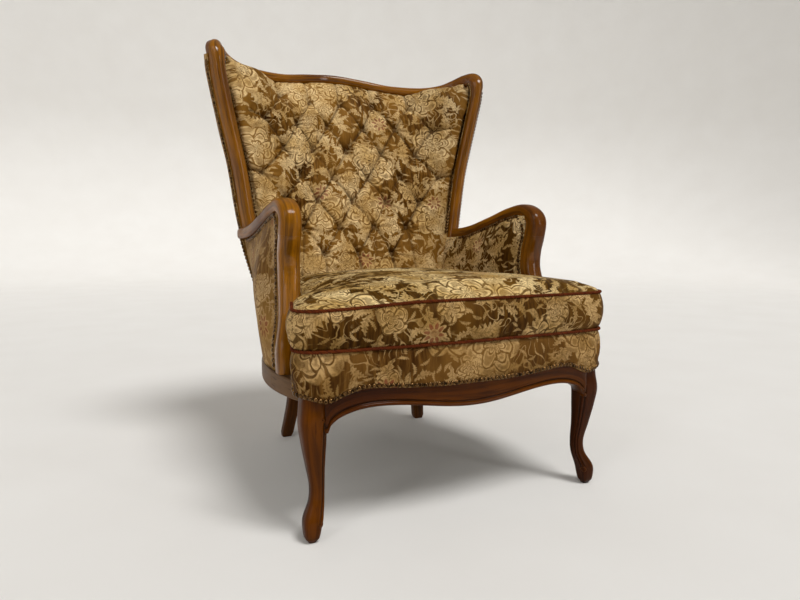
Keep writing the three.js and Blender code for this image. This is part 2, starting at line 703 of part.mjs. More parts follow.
// Springy top of the seat, with a pocket below for the coils
function seatPad(...cutters) {
  const body = slab(12, 16, 2, (u, v, w) => {
    const side = 2 * u - 1;
    const straight = lerp(seatFrontY(cornerX), SEAT_REAR, v ** 1.4);
    const x = side * seatHalfWidth(straight);
    const bow = (seatFrontY(x) - seatFrontY(cornerX)) * (1 - v) ** 4;
    const top = UPPER_WELT_Z + seatCrown(side, v);
    return new THREE.Vector3(x, straight + bow, lerp(LOWER_WELT_Z + JOINT_GAP, top, w));
  });
  const pocketSize = [2 * POCKET_HALF_WIDTH, POCKET_REAR - POCKET_FRONT, pocketTop];
  const pocket = weld(new THREE.BoxGeometry(...pocketSize));
  pocket.translate(0, (POCKET_FRONT + POCKET_REAR) / 2, pocketTop / 2);
  return cut(body, pocket, ...cutters);
}

// Padded band between the lower welt and the show wood, tacked into a step in the rail and legs
function seatBorder(grow = 0) {
  return slab(40, 1, 1, (u, v, w) => {
    const at = seatEdge.getPoint(u);
    const outwards = outwardsAt(seatEdge.getTangent(u));
    at.addScaledVector(outwards, lerp(-BORDER_THICKNESS - grow, grow, v) - BORDER_INSET);
    at.z = lerp(BORDER_BOTTOM - grow, LOWER_WELT_Z - JOINT_GAP + grow, w);
    return at;
  });
}

// Twisted cord sewn along the seat's edge, seen here as its outer round
function welt(z) {
  const round = { across: WELT_RADIUS, ahead: WELT_RADIUS, frontPower: 2, backPower: 2 };
  const edge = seatEdge.points.map((p, i) => {
    const outwards = outwardsAt(seatEdge.getTangent(i / (seatEdge.points.length - 1)));
    return p.clone().addScaledVector(outwards, WELT_RADIUS + 2 * JOINT_GAP).setZ(z);
  });
  const path = new THREE.CatmullRomCurve3(edge);
  return sweep(path, { from: 0, to: 1 }, { sides: 6, steps: 40 }, () => round, outwardsAt);
}

function dustCover(...cutters) {
  const top = RAIL_TOP - RAIL_HEIGHT - JOINT_GAP;
  const sheet = slab(8, 6, 1, (u, v, w) => {
    const side = 2 * u - 1;
    const middleY = lerp(sideRailFront.y, rearLegY, v);
    const x = side * (sideRailX(middleY) - RAIL_THICKNESS / 2);
    const front = seatFrontY(x) + FRONT_RAIL_INSET + RAIL_THICKNESS + JOINT_GAP;
    const rear = backY(x, RAIL_TOP) - RAIL_THICKNESS / 2;
    return new THREE.Vector3(x, lerp(front, rear, v), top - (1 - w) * DUST_COVER_THICKNESS);
  });
  return cut(sheet, ...cutters);
}

// Back upholstery

// Upright webbing of the hollow back: a straight line from the stuffing rail to the crest
const strapFootY = stuffingRailY - STUFFING_RAIL_HALF_DEPTH - JOINT_GAP;
const strapBendZ = STUFFING_RAIL_Z + STUFFING_RAIL_HALF_HEIGHT;
function backStrapY(x, z) {
  const top = crestZ(x) - CREST_HALF_HEIGHT;
  const topY = crestY(x, crestZ(x)) - WING_HALF_DEPTH * 0.4;
  return lerp(strapFootY, topY, Math.max(0, (z - strapBendZ) / (top - strapBendZ)));
}

function backStrap(x) {
  const bottom = strapBendZ - 2 * STRAP_TACKING;
  const bend = 0.25;
  return slab(2, 1, 4, (u, v, w) => {
    const at = x + (u - 0.5) * STRAP_WIDTH;
    const top = crestZ(at) - CREST_HALF_HEIGHT - JOINT_GAP;
    const low = lerp(bottom, strapBendZ, w / bend);
    const z = w < bend ? low : lerp(strapBendZ, top, (w - bend) / (1 - bend));
    return new THREE.Vector3(at, backStrapY(at, z) - (1 - v) * STRAP_THICKNESS, z);
  });
}

function backPadHalfWidth(z) {
  const belowArms = armsInside - 2 * JOINT_GAP;
  const betweenWings = wingX(z) - WING_HALF_WIDTH - JOINT_GAP;
  return z < armUnderside(WING_FOOT_Y) ? Math.min(belowArms, betweenWings) : betweenWings;
}

// Highest point of a cover below the crest rail at x
function underCrest(x) {
  return crestZ(Math.min(Math.abs(x), crestJointX)) - CREST_HALF_HEIGHT - JOINT_GAP;
}

function backPad(...cutters) {
  const body = slab(14, 1, 12, (u, v, w) => {
    const side = 2 * u - 1;
    const nominal = lerp(BACK_PAD_BOTTOM, EAR_TOP - CREST_DIP_BELOW_EAR, w);
    const x = side * backPadHalfWidth(nominal);
    const top = Math.min(underCrest(x), EAR_TOP - BACK_PAD_BELOW_EAR);
    const z = lerp(BACK_PAD_BOTTOM, top, w);
    const rear = backStrapY(x, z) - STRAP_THICKNESS - BACK_PAD_CLEARANCE;
    const rolled = BACK_PAD_TOP_LOSS * smoothstep(w, BACK_PAD_ROLL_START, 1);
    const front = rear - BACK_PAD_THICKNESS * (1 - rolled);
    const edge = wingY(z) - BACK_PAD_EDGE.middle;
    const curve = Math.abs(side) ** BACK_PAD_PLAN_POWER;
    const behind = lerp(rear, edge + BACK_PAD_EDGE.behind, curve);
    const ahead = lerp(front, edge - BACK_PAD_EDGE.ahead, curve);
    return new THREE.Vector3(x, lerp(ahead, behind, v), z);
  });
  return cut(body, ...cutters);
}

// Cover behind the back, from wing to wing
function outsideBack(...cutters) {
  const body = slab(18, 1, 10, (u, v, w) => {
    const side = 2 * u - 1;
    const nominal = lerp(RAIL_TOP + JOINT_GAP, EAR_TOP - CREST_DIP_BELOW_EAR, w);
    const x = side * backHalfWidth(nominal);
    const z = lerp(RAIL_TOP + JOINT_GAP, underCrest(x), w);
    return new THREE.Vector3(x, backY(x, z) + v * COVER_THICKNESS, z);
  });
  return cut(body, ...cutters);
}

// Arm upholstery

// Outer face of the outside cover at y, a share of the way from the side rail up to the arm rail
function outsideArmX(y, share) {
  const foot = sideRailX(y) - OUTSIDE_ARM_FOOT_INSET;
  const head = armX + ARM_HALF_WIDTH - OUTSIDE_ARM_HEAD_INSET;
  const swollen = lerp(foot, head, share) + OUTSIDE_ARM_SWELL * Math.sin(Math.PI * share);
  const z = lerp(RAIL_TOP, armUnderside(y), share);
  const overWing = wingX(z) + WING_HALF_WIDTH + COVER_THICKNESS + 2 * JOINT_GAP;
  const wingFront = wingY(z) - WING_HALF_DEPTH;
  const nearWing = smoothstep(y, wingFront - OUTSIDE_ARM_FLARE, wingFront);
  return lerp(swollen, Math.max(swollen, overWing), nearWing);
}

function armPad(side, ...cutters) {
  const rear = WING_FOOT_Y - ARM_PAD_REAR_GAP;
  const body = slab(1, 8, 3, (u, v, w) => {
    const y = lerp(ARM_PAD_FRONT, rear, v);
    const top = armUnderside(y) - JOINT_GAP;
    const z = lerp(ARM_PAD_BOTTOM, top, w);
    const cover = outsideArmX(y, (z - RAIL_TOP) / (top - RAIL_TOP)) - COVER_THICKNESS;
    const outer = Math.min(armsInside + ARM_PAD_THICKNESS, cover - ARM_PAD_CLEARANCE);
    return new THREE.Vector3(side * (outer - (1 - u) * ARM_PAD_THICKNESS), y, z);
  });
  return cut(body, ...cutters);
}

function outsideArm(side, ...cutters) {
  const bottom = RAIL_TOP + JOINT_GAP;
  const body = slab(1, 10, 5, (u, v, w) => {
    const front = lerp(ARM_FOOT_Y, OUTSIDE_ARM_FRONT, w);
    const rear = lerp(WING_FOOT_Y + WING_FOOT_HALF_DEPTH, wingShape[1].y + WING_HALF_DEPTH, w);
    const y = lerp(front, rear - OUTSIDE_ARM_REAR_INSET, v);
    const z = lerp(bottom, armUnderside(y) - JOINT_GAP, w);
    return new THREE.Vector3(side * (outsideArmX(y, w) - (1 - u) * COVER_THICKNESS), y, z);
  });
  return cut(body, ...cutters);
}

// Assembly

const chair = new THREE.Group();

function add(name, geometry, finish) {
  const mesh = new THREE.Mesh(geometry, finish);
  mesh.name = name;
  chair.add(mesh);
}

const sides = [['left', -1], ['right', 1]];
const ends = ['front', 'rear'];
const bothSides = (piece) => [piece(-1, JOINT_GAP), piece(1, JOINT_GAP)];
const borderStep = seatBorder(JOINT_GAP);
const frontLegs = bothSides(frontLeg);
const rearLegs = bothSides(rearLeg);
const wings = bothSides(wingPost);
const posts = bothSides(armPost);

add('front_rail', cut(frontRail(), ...frontLegs, borderStep), FINISH.showWood);
add('back_rail', cut(backRail(), ...rearLegs), FINISH.showWood);
add('stuffing_rail', cut(stuffingRail(), ...rearLegs), FINISH.frameWood);
add('crest_rail', crestRail(), FINISH.showWood);

sides.forEach(([hand, side]) => {
  const screws = { front: blockScrew(side, 'front', JOINT_GAP), rear: blockScrew(side, 'rear', JOINT_GAP) };
  const legs = { front: frontLeg(side, JOINT_GAP), rear: rearLeg(side, JOINT_GAP) };
  const crossRails = { front: frontRail(JOINT_GAP), rear: backRail(JOINT_GAP) };
  const wingClearance = wingPost(side, JOINT_GAP);
  const postClearance = armPost(side, JOINT_GAP);
  const armClearance = armRail(side, JOINT_GAP);

  add(`front_leg_${hand}`, cut(frontLeg(side), borderStep, screws.front), FINISH.showWood);
  add(`rear_leg_${hand}`, cut(rearLeg(side), screws.rear, crestRail(JOINT_GAP)), FINISH.showWood);
  add(`side_rail_${hand}`, cut(sideRail(side), legs.front, legs.rear, borderStep), FINISH.showWood);
  ends.forEach((end) => {
    const fixed = [legs[end], crossRails[end], sideRail(side, JOINT_GAP), screws[end]];
    add(`${end}_corner_block_${hand}`, cut(cornerBlock(side, end), ...fixed), FINISH.frameWood);
    add(`${end}_block_screw_${hand}`, blockScrew(side, end), FINISH.steel);
  });
  add(`arm_post_${hand}`, armPost(side), FINISH.showWood);
  add(`arm_rail_${hand}`, cut(armRail(side), wingClearance), FINISH.showWood);
  add(`wing_post_${hand}`, wingPost(side), FINISH.showWood);
  add(`inside_arm_${hand}`, armPad(side, postClearance, armClearance, wingClearance), FINISH.velvet);
  add(`outside_arm_${hand}`, outsideArm(side, postClearance, armClearance, wingClearance), FINISH.velvet);
});

[-2, -1, 0, 1, 2].forEach((place) => {
  add(`length_strap_${place + 3}`, lengthStrap(place * strapSpacing), FINISH.webbing);
});
[0, 1, 2, 3].forEach((place) => {
  const y = FIRST_CROSS_STRAP_Y + place * CROSS_STRAP_SPACING;
  add(`cross_strap_${place + 1}`, crossStrap(y), FINISH.webbing);
});
[0, 1, 2].forEach((row) => {
  [-1, 0, 1].forEach((column) => {
    const y = FIRST_CROSS_STRAP_Y + row * CROSS_STRAP_SPACING;
    add(`seat_spring_${row * 3 + column + 2}`, spring(column * strapSpacing, y), FINISH.steel);
  });
});
add('spring_hessian', hessian(), FINISH.webbing);
add('seat_pad', seatPad(...posts), FINISH.velvet);
add('seat_border', cut(seatBorder(), ...posts), FINISH.velvet);
add('lower_welt', welt(LOWER_WELT_Z), FINISH.cord);
add('upper_welt', welt(UPPER_WELT_Z), FINISH.cord);
add('dust_cover', dustCover(...frontLegs, ...rearLegs, frontRail(JOINT_GAP)), FINISH.dustCloth);
[-1.5, -0.5, 0.5, 1.5].forEach((place) => {
  add(`back_strap_${place + 2.5}`, backStrap(place * BACK_STRAP_SPACING), FINISH.webbing);
});
add('back_pad', backPad(...wings, ...rearLegs, crestRail(JOINT_GAP)), FINISH.velvet);
add('outside_back', outsideBack(...wings, ...bothSides(armRail), crestRail(JOINT_GAP)), FINISH.velvet);

// The origin goes under the middle of the chair
const extent = new THREE.Box3().setFromObject(chair);
chair.position.y = -(extent.min.y + extent.max.y) / 2;

export default chair;
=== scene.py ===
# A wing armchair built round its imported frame: polished show wood, buttoned back, sprung seat.
# Sizes are millimetres with the feet centred on the origin, as the frame was drawn; place() turns
# them into the frame's metres. +X is to the right of someone facing the chair, the front towards -Y.
import math

import bmesh
import bpy
import numpy as np
from mathutils import Matrix, Vector


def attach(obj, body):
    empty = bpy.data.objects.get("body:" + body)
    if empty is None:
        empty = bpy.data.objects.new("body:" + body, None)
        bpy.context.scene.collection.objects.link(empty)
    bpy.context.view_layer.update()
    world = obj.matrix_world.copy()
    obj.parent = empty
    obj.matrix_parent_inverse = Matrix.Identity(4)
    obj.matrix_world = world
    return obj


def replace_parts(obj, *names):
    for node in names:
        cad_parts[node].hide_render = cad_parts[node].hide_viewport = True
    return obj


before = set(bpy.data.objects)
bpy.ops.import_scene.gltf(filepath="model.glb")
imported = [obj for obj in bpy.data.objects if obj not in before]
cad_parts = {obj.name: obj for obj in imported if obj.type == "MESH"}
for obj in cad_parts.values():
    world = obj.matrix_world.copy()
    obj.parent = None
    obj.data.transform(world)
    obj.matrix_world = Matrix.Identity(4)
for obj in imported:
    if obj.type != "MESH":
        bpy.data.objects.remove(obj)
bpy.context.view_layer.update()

MM = 0.001
FRAME_SHIFT_Y = -63.57

# Seat outline
SEAT_HALF_WIDTH = 345
SEAT_SEAM_HALF = 336
SEAT_FRONT = 345
FRONT_SWEEP = 28
CORNER_RADIUS = 38
SEAT_REAR = 214
ARMS_INSIDE = 261.5
SEAT_EAR_END = -190
SEAT_EAR_HALF = 311
SEAT_NECK_END = -160

# Seat frame
RAIL_TOP = 285
RAIL_HEIGHT = 37
RAIL_THICKNESS = 34
FRONT_RAIL_INSET = 6
APRON_MIDDLE = 222
APRON_ARCH = 240
APRON_ARCH_X = 195
BRACKET_DROP = 40
BRACKET_LENGTH = 92
BEAD_RADIUS = 3.8

# Legs
FRONT_LEG_X = 313
FRONT_FOOT_Y = -299
REAR_FOOT = (201, 297)
REAR_LEG_X = 185
REAR_LEG_HALF = 18
REAR_FOOT_HALF = 15

# Arms
ARM_X = 294
ARM_TOP = 617
ARM_HALF_WIDTH = 21.5
ARM_RAIL_HALF_DEPTH = 15
ARM_POST_HALF_DEPTH = 20
ARM_FOOT_Y = -190
ARM_FOOT_HALF = 16.5
ARM_RAIL_POINTS = 8

# Back and wings
EAR_TOP = 1014
WING_RISE = EAR_TOP - RAIL_TOP
WING_HALF_WIDTH = 16
WING_HALF_DEPTH = 23
WING_FOOT = (235, 217)
WING_FOOT_HALF_DEPTH = 15
WING_TURN = 0.35
NAILING_STEP = 3
CREST_HALF_HEIGHT = 14
CREST_RISE = 28
CREST_DIP_BELOW_EAR = 46
CREST_DIP_X = 245
CREST_JOINT_X = 298
CREST_END_RISE = 15
CREST_SET_FORWARD = 18
BACK_REAR_Y = 303.5
BACK_RAKE = 0.24

# Upholstery
COVER_THICKNESS = 5
LOWER_WELT_Z = 346
UPPER_WELT_Z = 425
SEAT_CROWN = 36
SEAT_SLUMP = 9
BORDER_INSET = 2

# Springing
STRAP_SPACING = 70
FIRST_SPRING_Y = -140
SPRING_ROW = 100
SPRING_FOOT = 291.2
SPRING_HEIGHT = 84


# Numbers and curves

UP = np.array([0, 0, 1])


def lerp(a, b, t):
    return a + (b - a) * t


def smoothstep(value, low, high):
    t = np.clip((value - low) / (high - low), 0, 1)
    return t * t * (3 - 2 * t)


def rounded_rise(distance, reach):
    """Quarter circle: 0 at the edge, 1 at reach from it."""
    return np.sqrt(1 - (1 - np.clip(distance / reach, 0, 1)) ** 2)


def unit(vector):
    return vector / np.linalg.norm(vector)


def place(points):
    """Drawn millimetres to the frame's metres."""
    moved = np.array(points, float)
    moved[..., 1] += FRAME_SHIFT_Y
    return moved * MM


def squared(value, power):
    return np.sign(value) * np.abs(value) ** (2 / power)


def curve_point(points, t):
    """Centripetal curve through points, t from 0 to 1 with equal steps between them."""
    p = np.asarray(points, float)
    last = len(p) - 1
    along = min(max(t, 0.0), 1.0) * last
    i = min(int(along), last - 1)
    w = along - i
    p1, p2 = p[i], p[i + 1]
    p0 = p[i - 1] if i else 2 * p1 - p2
    p3 = p[i + 2] if i + 2 <= last else 2 * p2 - p1
    d0, d1, d2 = (max(np.linalg.norm(b - a), 1e-6) ** 0.5 for a, b in ((p0, p1), (p1, p2), (p2, p3)))
    m1 = ((p1 - p0) / d0 - (p2 - p0) / (d0 + d1) + (p2 - p1) / d1) * d1
    m2 = ((p2 - p1) / d1 - (p3 - p1) / (d1 + d2) + (p3 - p2) / d2) * d1
    bend = 2 * (p1 - p2) + m1 + m2
    return p1 + m1 * w + (3 * (p2 - p1) - 2 * m1 - m2) * w ** 2 + bend * w ** 3


def curve_tangent(points, t):
    step = 1e-4
    return unit(curve_point(points, min(t + step, 1)) - curve_point(points, max(t - step, 0)))


def lengths_along(points):
    steps = np.linalg.norm(np.diff(points, axis=0), axis=1)
    return np.concatenate([[0], np.cumsum(steps)])


def sampled(marks, along, points):
    """Places at marks on a line whose points lie at the distances along."""
    return np.stack([np.interp(marks, along, points[:, k]) for k in range(3)], axis=1)


def ripple(a, b, seed):
    """Smooth unrepeating wobble between about -1 and 1."""
    first = np.sin(a * 1.0 + 1.7 * seed + 1.3 * np.sin(b * 0.7 + seed))
    second = np.sin(b * 1.3 + 2.9 * seed + 1.1 * np.sin(a * 0.6 - seed))
    third = np.sin(0.8 * a - 1.1 * b + 4.1 * seed)
    return (first + second + third) / 3


# Outlines that several pieces share

def seat_front_y(x):
    return -SEAT_FRONT + FRONT_SWEEP * (x / SEAT_HALF_WIDTH) ** 2


WING_SHAPE = np.array([
    (SEAT_HALF_WIDTH + out, y, RAIL_TOP + rise * WING_RISE)
    for out, y, rise in [
        (-83, 238, 0.186), (-50, 260, 0.38), (-27, 264, 0.594), (-9, 262, 0.711),
        (8, 257, 0.822), (19, 252, 0.905), (20, 251, 0.949),
    ]
])
WING_HEIGHTS = np.concatenate([[RAIL_TOP], WING_SHAPE[:, 2]])


def wing_x(z):
    return np.interp(z, WING_HEIGHTS, np.concatenate([[WING_FOOT[0]], WING_SHAPE[:, 0]]))


def wing_y(z):
    return np.interp(z, WING_HEIGHTS, np.concatenate([[WING_FOOT[1]], WING_SHAPE[:, 1]]))


def back_half_width(z):
    return wing_x(z) + WING_HALF_WIDTH - 6


def back_y(x, z):
    """Rear face of the back's frame, on which the outside cover lies."""
    middle = BACK_REAR_Y + BACK_RAKE * (z - RAIL_TOP)
    side = wing_y(z) + WING_HALF_DEPTH + 0.3
    power = lerp(3.6, 2.2, (z - RAIL_TOP) / WING_RISE)
    return middle - (middle - side) * np.minimum(1, np.abs(x) / back_half_width(z)) ** power


def stile_y(z):
    return back_y(REAR_LEG_X + REAR_LEG_HALF, z) - REAR_LEG_HALF - 1


REAR_LEG_Y = stile_y(RAIL_TOP)


def side_rail_plan(t):
    start = np.array([FRONT_LEG_X + 10, FRONT_FOOT_Y + 24])
    middle = np.array([SEAT_HALF_WIDTH + 63, -40])
    end = np.array([REAR_LEG_X + 14, REAR_LEG_Y + 6])
    return (1 - t) ** 2 * start + 2 * t * (1 - t) * middle + t ** 2 * end


SIDE_RAIL_POINTS = np.array([side_rail_plan(t) for t in np.linspace(0, 1, 200)])


def side_rail_x(y):
    return np.interp(y, SIDE_RAIL_POINTS[:, 1], SIDE_RAIL_POINTS[:, 0])


def crest_z(x):
    out = np.abs(x)
    dip = EAR_TOP - CREST_DIP_BELOW_EAR
    wave = dip + CREST_RISE * (1 + np.cos(np.pi * np.minimum(out, CREST_DIP_X) / CREST_DIP_X)) / 2
    end = dip + CREST_END_RISE * ((out - CREST_DIP_X) / (CREST_JOINT_X - CREST_DIP_X)) ** 2
    return np.where(out < CREST_DIP_X, wave, end)


def crest_y(x, z):
    return back_y(x, z) - CREST_SET_FORWARD


def crest_point(x, z):
    return (x, float(crest_y(x, z)), z)


# The show-wood loop: right upright, right ear, crest, left ear, left upright
WING_FOOT_POINTS = [(WING_FOOT[0], WING_FOOT[1], RAIL_TOP + 0.3 + up) for up in (0, 25)]
EAR_POINTS = [
    (SEAT_HALF_WIDTH + out, y, EAR_TOP + drop)
    for out, y, drop in [(20, 264, -23), (12, 300, -20), (-9, 334, -30), (-41, 358, -38)]
]
CREST_POINTS = [crest_point(CREST_DIP_X * s, float(crest_z(CREST_DIP_X * s))) for s in (1, 0.66, 0.33)]
RIGHT_LOOP = [*WING_FOOT_POINTS, *map(tuple, WING_SHAPE), *EAR_POINTS, *CREST_POINTS]
LOOP = np.array([
    *RIGHT_LOOP,
    crest_point(0, float(crest_z(0))),
    *[(-x, y, z) for x, y, z in reversed(RIGHT_LOOP)],
])
EAR_STEP = len(WING_FOOT_POINTS) + len(WING_SHAPE)
EAR_CORNER = (EAR_STEP - 0.2) / (len(LOOP) - 1)


FULL_DEPTH_Z = 517
EAR_SWELL = 5
EAR_SWELL_FROM = EAR_TOP - 60
EAR_SWELL_TO = EAR_TOP - 25


def loop_frame(t):
    """Middle of the loop's bar, its outward and its forward direction, and its half sizes."""
    centre = curve_point(LOOP, t)
    tangent = curve_tangent(LOOP, t)
    turn = WING_TURN * centre[0] / SEAT_HALF_WIDTH
    ahead = np.array([-math.sin(turn), -math.cos(turn), 0])
    front = unit(ahead - tangent * ahead.dot(tangent))
    outwards = np.cross(tangent, front)
    out, height = abs(centre[0]), centre[2]
    half = WING_HALF_WIDTH
    if height > EAR_TOP - 2 * CREST_DIP_BELOW_EAR:
        half = lerp(CREST_HALF_HEIGHT, half, smoothstep(out, CREST_DIP_X, SEAT_HALF_WIDTH))
    depth = lerp(WING_FOOT_HALF_DEPTH, WING_HALF_DEPTH, smoothstep(height, RAIL_TOP, FULL_DEPTH_Z))
    in_ear = smoothstep(out, CREST_JOINT_X, SEAT_HALF_WIDTH)
    swell = EAR_SWELL * in_ear * smoothstep(height, EAR_SWELL_FROM, EAR_SWELL_TO)
    return centre, outwards, front, half + swell, depth - swell


ARM_SHAPE = np.array([
    (8, 272, -68), (7, 200, -65), (6, 142, -58), (4, 47, -38), (2, -42, -18), (2, -96, -15), (2, -130, -37),
    (2, -126, -72), (2, -114, -112), (2, -114, -157), (12, -145, -232),
], float)
ARM_FOOT_X = float(side_rail_x(ARM_FOOT_Y)) - RAIL_THICKNESS / 2
ARM_CURVE = np.array([
    *[(ARM_X + out, y, ARM_TOP + drop) for out, y, drop in ARM_SHAPE],
    (ARM_FOOT_X, ARM_FOOT_Y, RAIL_TOP + 40.3),
    (ARM_FOOT_X, ARM_FOOT_Y, RAIL_TOP + 0.3),
])
ARM_JOINT = (ARM_RAIL_POINTS - 1) / (len(ARM_CURVE) - 1)


def arm_frame(t):
    centre = curve_point(ARM_CURVE, t)
    tangent = curve_tangent(ARM_CURVE, t)
    front = unit(np.cross(tangent, (1, 0, 0)))
    sideways = np.cross(tangent, front)
    half = lerp(ARM_HALF_WIDTH, ARM_FOOT_HALF, smoothstep(t, 0.75, 1))
    depth = lerp(ARM_RAIL_HALF_DEPTH, ARM_POST_HALF_DEPTH, smoothstep(t, ARM_JOINT - 0.2, ARM_JOINT))
    return centre, sideways, front, half, depth


ARM_STATIONS = np.linspace(0, 1, 160)
ARM_RAIL_SAMPLES = [arm_frame(t) for t in ARM_STATIONS if t < ARM_JOINT - 0.16]
ARM_POST_SAMPLES = [arm_frame(t) for t in ARM_STATIONS if t > ARM_JOINT]


def arm_underside(y):
    low = [(s[0][1], s[0][2] - s[4]) for s in reversed(ARM_RAIL_SAMPLES)]
    return np.interp(y, *np.array(low).T)


def arm_rail_x(y):
    return np.interp(y, *np.array([(s[0][1], s[0][0]) for s in reversed(ARM_RAIL_SAMPLES)]).T)


def arm_post_place(z):
    """x, y of the arm post's middle and its half width at a height."""
    known = np.array([(s[0][2], s[0][0], s[0][1], s[3]) for s in reversed(ARM_POST_SAMPLES)])
    return [np.interp(z, known[:, 0], known[:, k]) for k in (1, 2, 3)]


# Mesh making

BAR_GIRTH = 0.13
BAR_POINTS = 44
BAR_REAR_SQUARENESS = 4


def finish_mesh(name, bm, material, smooth=True):
    mesh = bpy.data.meshes.new(name)
    bm.to_mesh(mesh)
    bm.free()
    if smooth:
        mesh.polygons.foreach_set("use_smooth", [True] * len(mesh.polygons))
    mesh.materials.append(material)
    piece = bpy.data.objects.new(name, mesh)
    bpy.context.scene.collection.objects.link(piece)
    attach(piece, "root")
    return piece


def net(points, uv):
    """A grid of faces on an array of points, with a UV map in metres; returns the bmesh."""
    rows, columns = points.shape[:2]
    bm = bmesh.new()
    bmesh.ops.create_grid(bm, x_segments=columns - 1, y_segments=rows - 1, size=0.5)
    layer = bm.loops.layers.uv.new("cloth")
    row_of = bm.verts.layers.int.new("row")
    column_of = bm.verts.layers.int.new("column")
    for vert in bm.verts:
        vert[column_of] = round((vert.co.x + 0.5) * (columns - 1))
        vert[row_of] = round((vert.co.y + 0.5) * (rows - 1))
        vert.co = points[vert[row_of], vert[column_of]]
    for face in bm.faces:
        for loop in face.loops:
            loop[layer].uv = uv[loop.vert[row_of], loop.vert[column_of]]
    return bm


def net_places(bm):
    """The layers that keep each vertex's row and column."""
    return bm.verts.layers.int["row"], bm.verts.layers.int["column"]


def close_tube(bm):
    """Merge a tube's seam and cap its ends with flat faces behind sharp rims."""
    bmesh.ops.remove_doubles(bm, verts=bm.verts, dist=1e-6)
    for face in bm.faces:
        face.smooth = True
    caps = bmesh.ops.holes_fill(bm, edges=[e for e in bm.edges if e.is_boundary], sides=0)
    for face in caps["faces"]:
        face.smooth = False
        for edge in face.edges:
            edge.smooth = False
    bmesh.ops.recalc_face_normals(bm, faces=bm.faces)


def mark_folds(bm, fold):
    """Keep on each point how much its colour is darkened: painted shade in a fold or carved line, and
    elsewhere as given.
    """
    row_of, column_of = net_places(bm)
    fold_of = bm.verts.layers.float.new("fold")
    for vert in bm.verts:
        vert[fold_of] = fold[vert[row_of], vert[column_of]]


def bar(name, rings, material, grain_turn=0.0, fold=None, grain_start=0.0):
    """A solid bar through closed rings of points, with its UV running round and along it."""
    points = np.array([np.vstack([ring, ring[:1]]) for ring in rings])
    along = lengths_along(points.mean(axis=1)) * MM + grain_start
    girth = np.linspace(0, BAR_GIRTH, points.shape[1])
    uv = np.stack(np.broadcast_arrays(girth[None, :] + grain_turn, along[:, None]), axis=-1)
    bm = net(place(points), uv)
    if fold is not None:
        mark_folds(bm, np.hstack([fold, fold[:, :1]]))
    close_tube(bm)
    return finish_mesh(name, bm, material, False)


BACKING, FACE, WALL = 0, 1, 2


def padded_body(front, rear, uv):
    """A closed pad between a front and a rear array of points; returns the bmesh."""
    bm = net(place(front), uv)
    layer_of = bm.verts.layers.int.new("layer")
    for vert in bm.verts:
        vert[layer_of] = FACE
    row_of, column_of = net_places(bm)
    behind = place(rear)
    made = bmesh.ops.extrude_face_region(bm, geom=bm.faces[:], use_keep_orig=True)
    for vert in made["geom"]:
        if isinstance(vert, bmesh.types.BMVert):
            vert.co = behind[vert[row_of], vert[column_of]]
            vert[layer_of] = BACKING
    bmesh.ops.recalc_face_normals(bm, faces=bm.faces)
    return bm


CLOTH_FRAMES = 20
CLOTH_PRESSURE = 4.0
CLOTH_POINT_MASS = 0.02
CLOTH_BENDING = 2.0


def settle(piece, slack, reach, hem=1):
    """A short cloth run: the cover, cut a little full, is blown out against its seams and kept so."""
    mesh = piece.data
    count = len(mesh.vertices)
    row, column, layer = np.zeros((3, count), np.int32)
    for name, values in (("row", row), ("column", column), ("layer", layer)):
        mesh.attributes[name].data.foreach_get("value", values)
    inner = (row >= hem) & (row <= row.max() - hem) & (column >= hem) & (column <= column.max() - hem)
    loose = (layer == WALL) | ((layer == FACE) & inner)
    held = piece.vertex_groups.new(name="held")
    held.add(np.flatnonzero(~loose).tolist(), 1.0, "REPLACE")
    run = piece.modifiers.new("settle", "CLOTH")
    run.point_cache.frame_end = CLOTH_FRAMES
    run.settings.vertex_group_mass = held.name
    run.settings.mass = CLOTH_POINT_MASS
    run.settings.bending_stiffness = CLOTH_BENDING
    run.settings.shrink_min = -slack
    run.settings.use_pressure = True
    run.settings.uniform_pressure_force = CLOTH_PRESSURE
    run.settings.effector_weights.gravity = 0
    scene = bpy.context.scene
    for number in range(1, CLOTH_FRAMES + 1):
        scene.frame_set(number)
    before, after = np.zeros((2, 3 * count), np.float32)
    mesh.vertices.foreach_get("co", before)
    shaped = piece.evaluated_get(bpy.context.evaluated_depsgraph_get())
    shaped.data.vertices.foreach_get("co", after)
    move = (after - before).reshape(-1, 3)
    length = np.linalg.norm(move, axis=1, keepdims=True)
    move *= np.minimum(1, reach * MM / np.maximum(length, 1e-9))
    piece.modifiers.remove(run)
    piece.vertex_groups.remove(held)
    scene.frame_set(1)
    mesh.vertices.foreach_set("co", (before.reshape(-1, 3) + move).ravel())
    mesh.update()


def cloth_uv(points, turn=False):
    """UV in metres from distances along the middle row and column of an array of points."""
    across = lengths_along(points[points.shape[0] // 2]) * MM
    up = lengths_along(points[:, points.shape[1] // 2]) * MM
    pair = (up[:, None], across[None, :]) if turn else (across[None, :], up[:, None])
    return np.stack(np.broadcast_arrays(*pair), axis=-1)


def cover(name, face, behind, material):
    return finish_mesh(name, padded_body(face, behind, cloth_uv(face)), material)


def mirrored(points):
    return np.asarray(points) * np.array([-1, 1, 1])


def round_ring(core, first, second, radius, count):
    """A circle of points round a core, in the plane of two directions."""
    angles = np.linspace(0, 2 * np.pi, count, endpoint=False)
    return core + radius * (np.cos(angles)[:, None] * first + np.sin(angles)[:, None] * second)


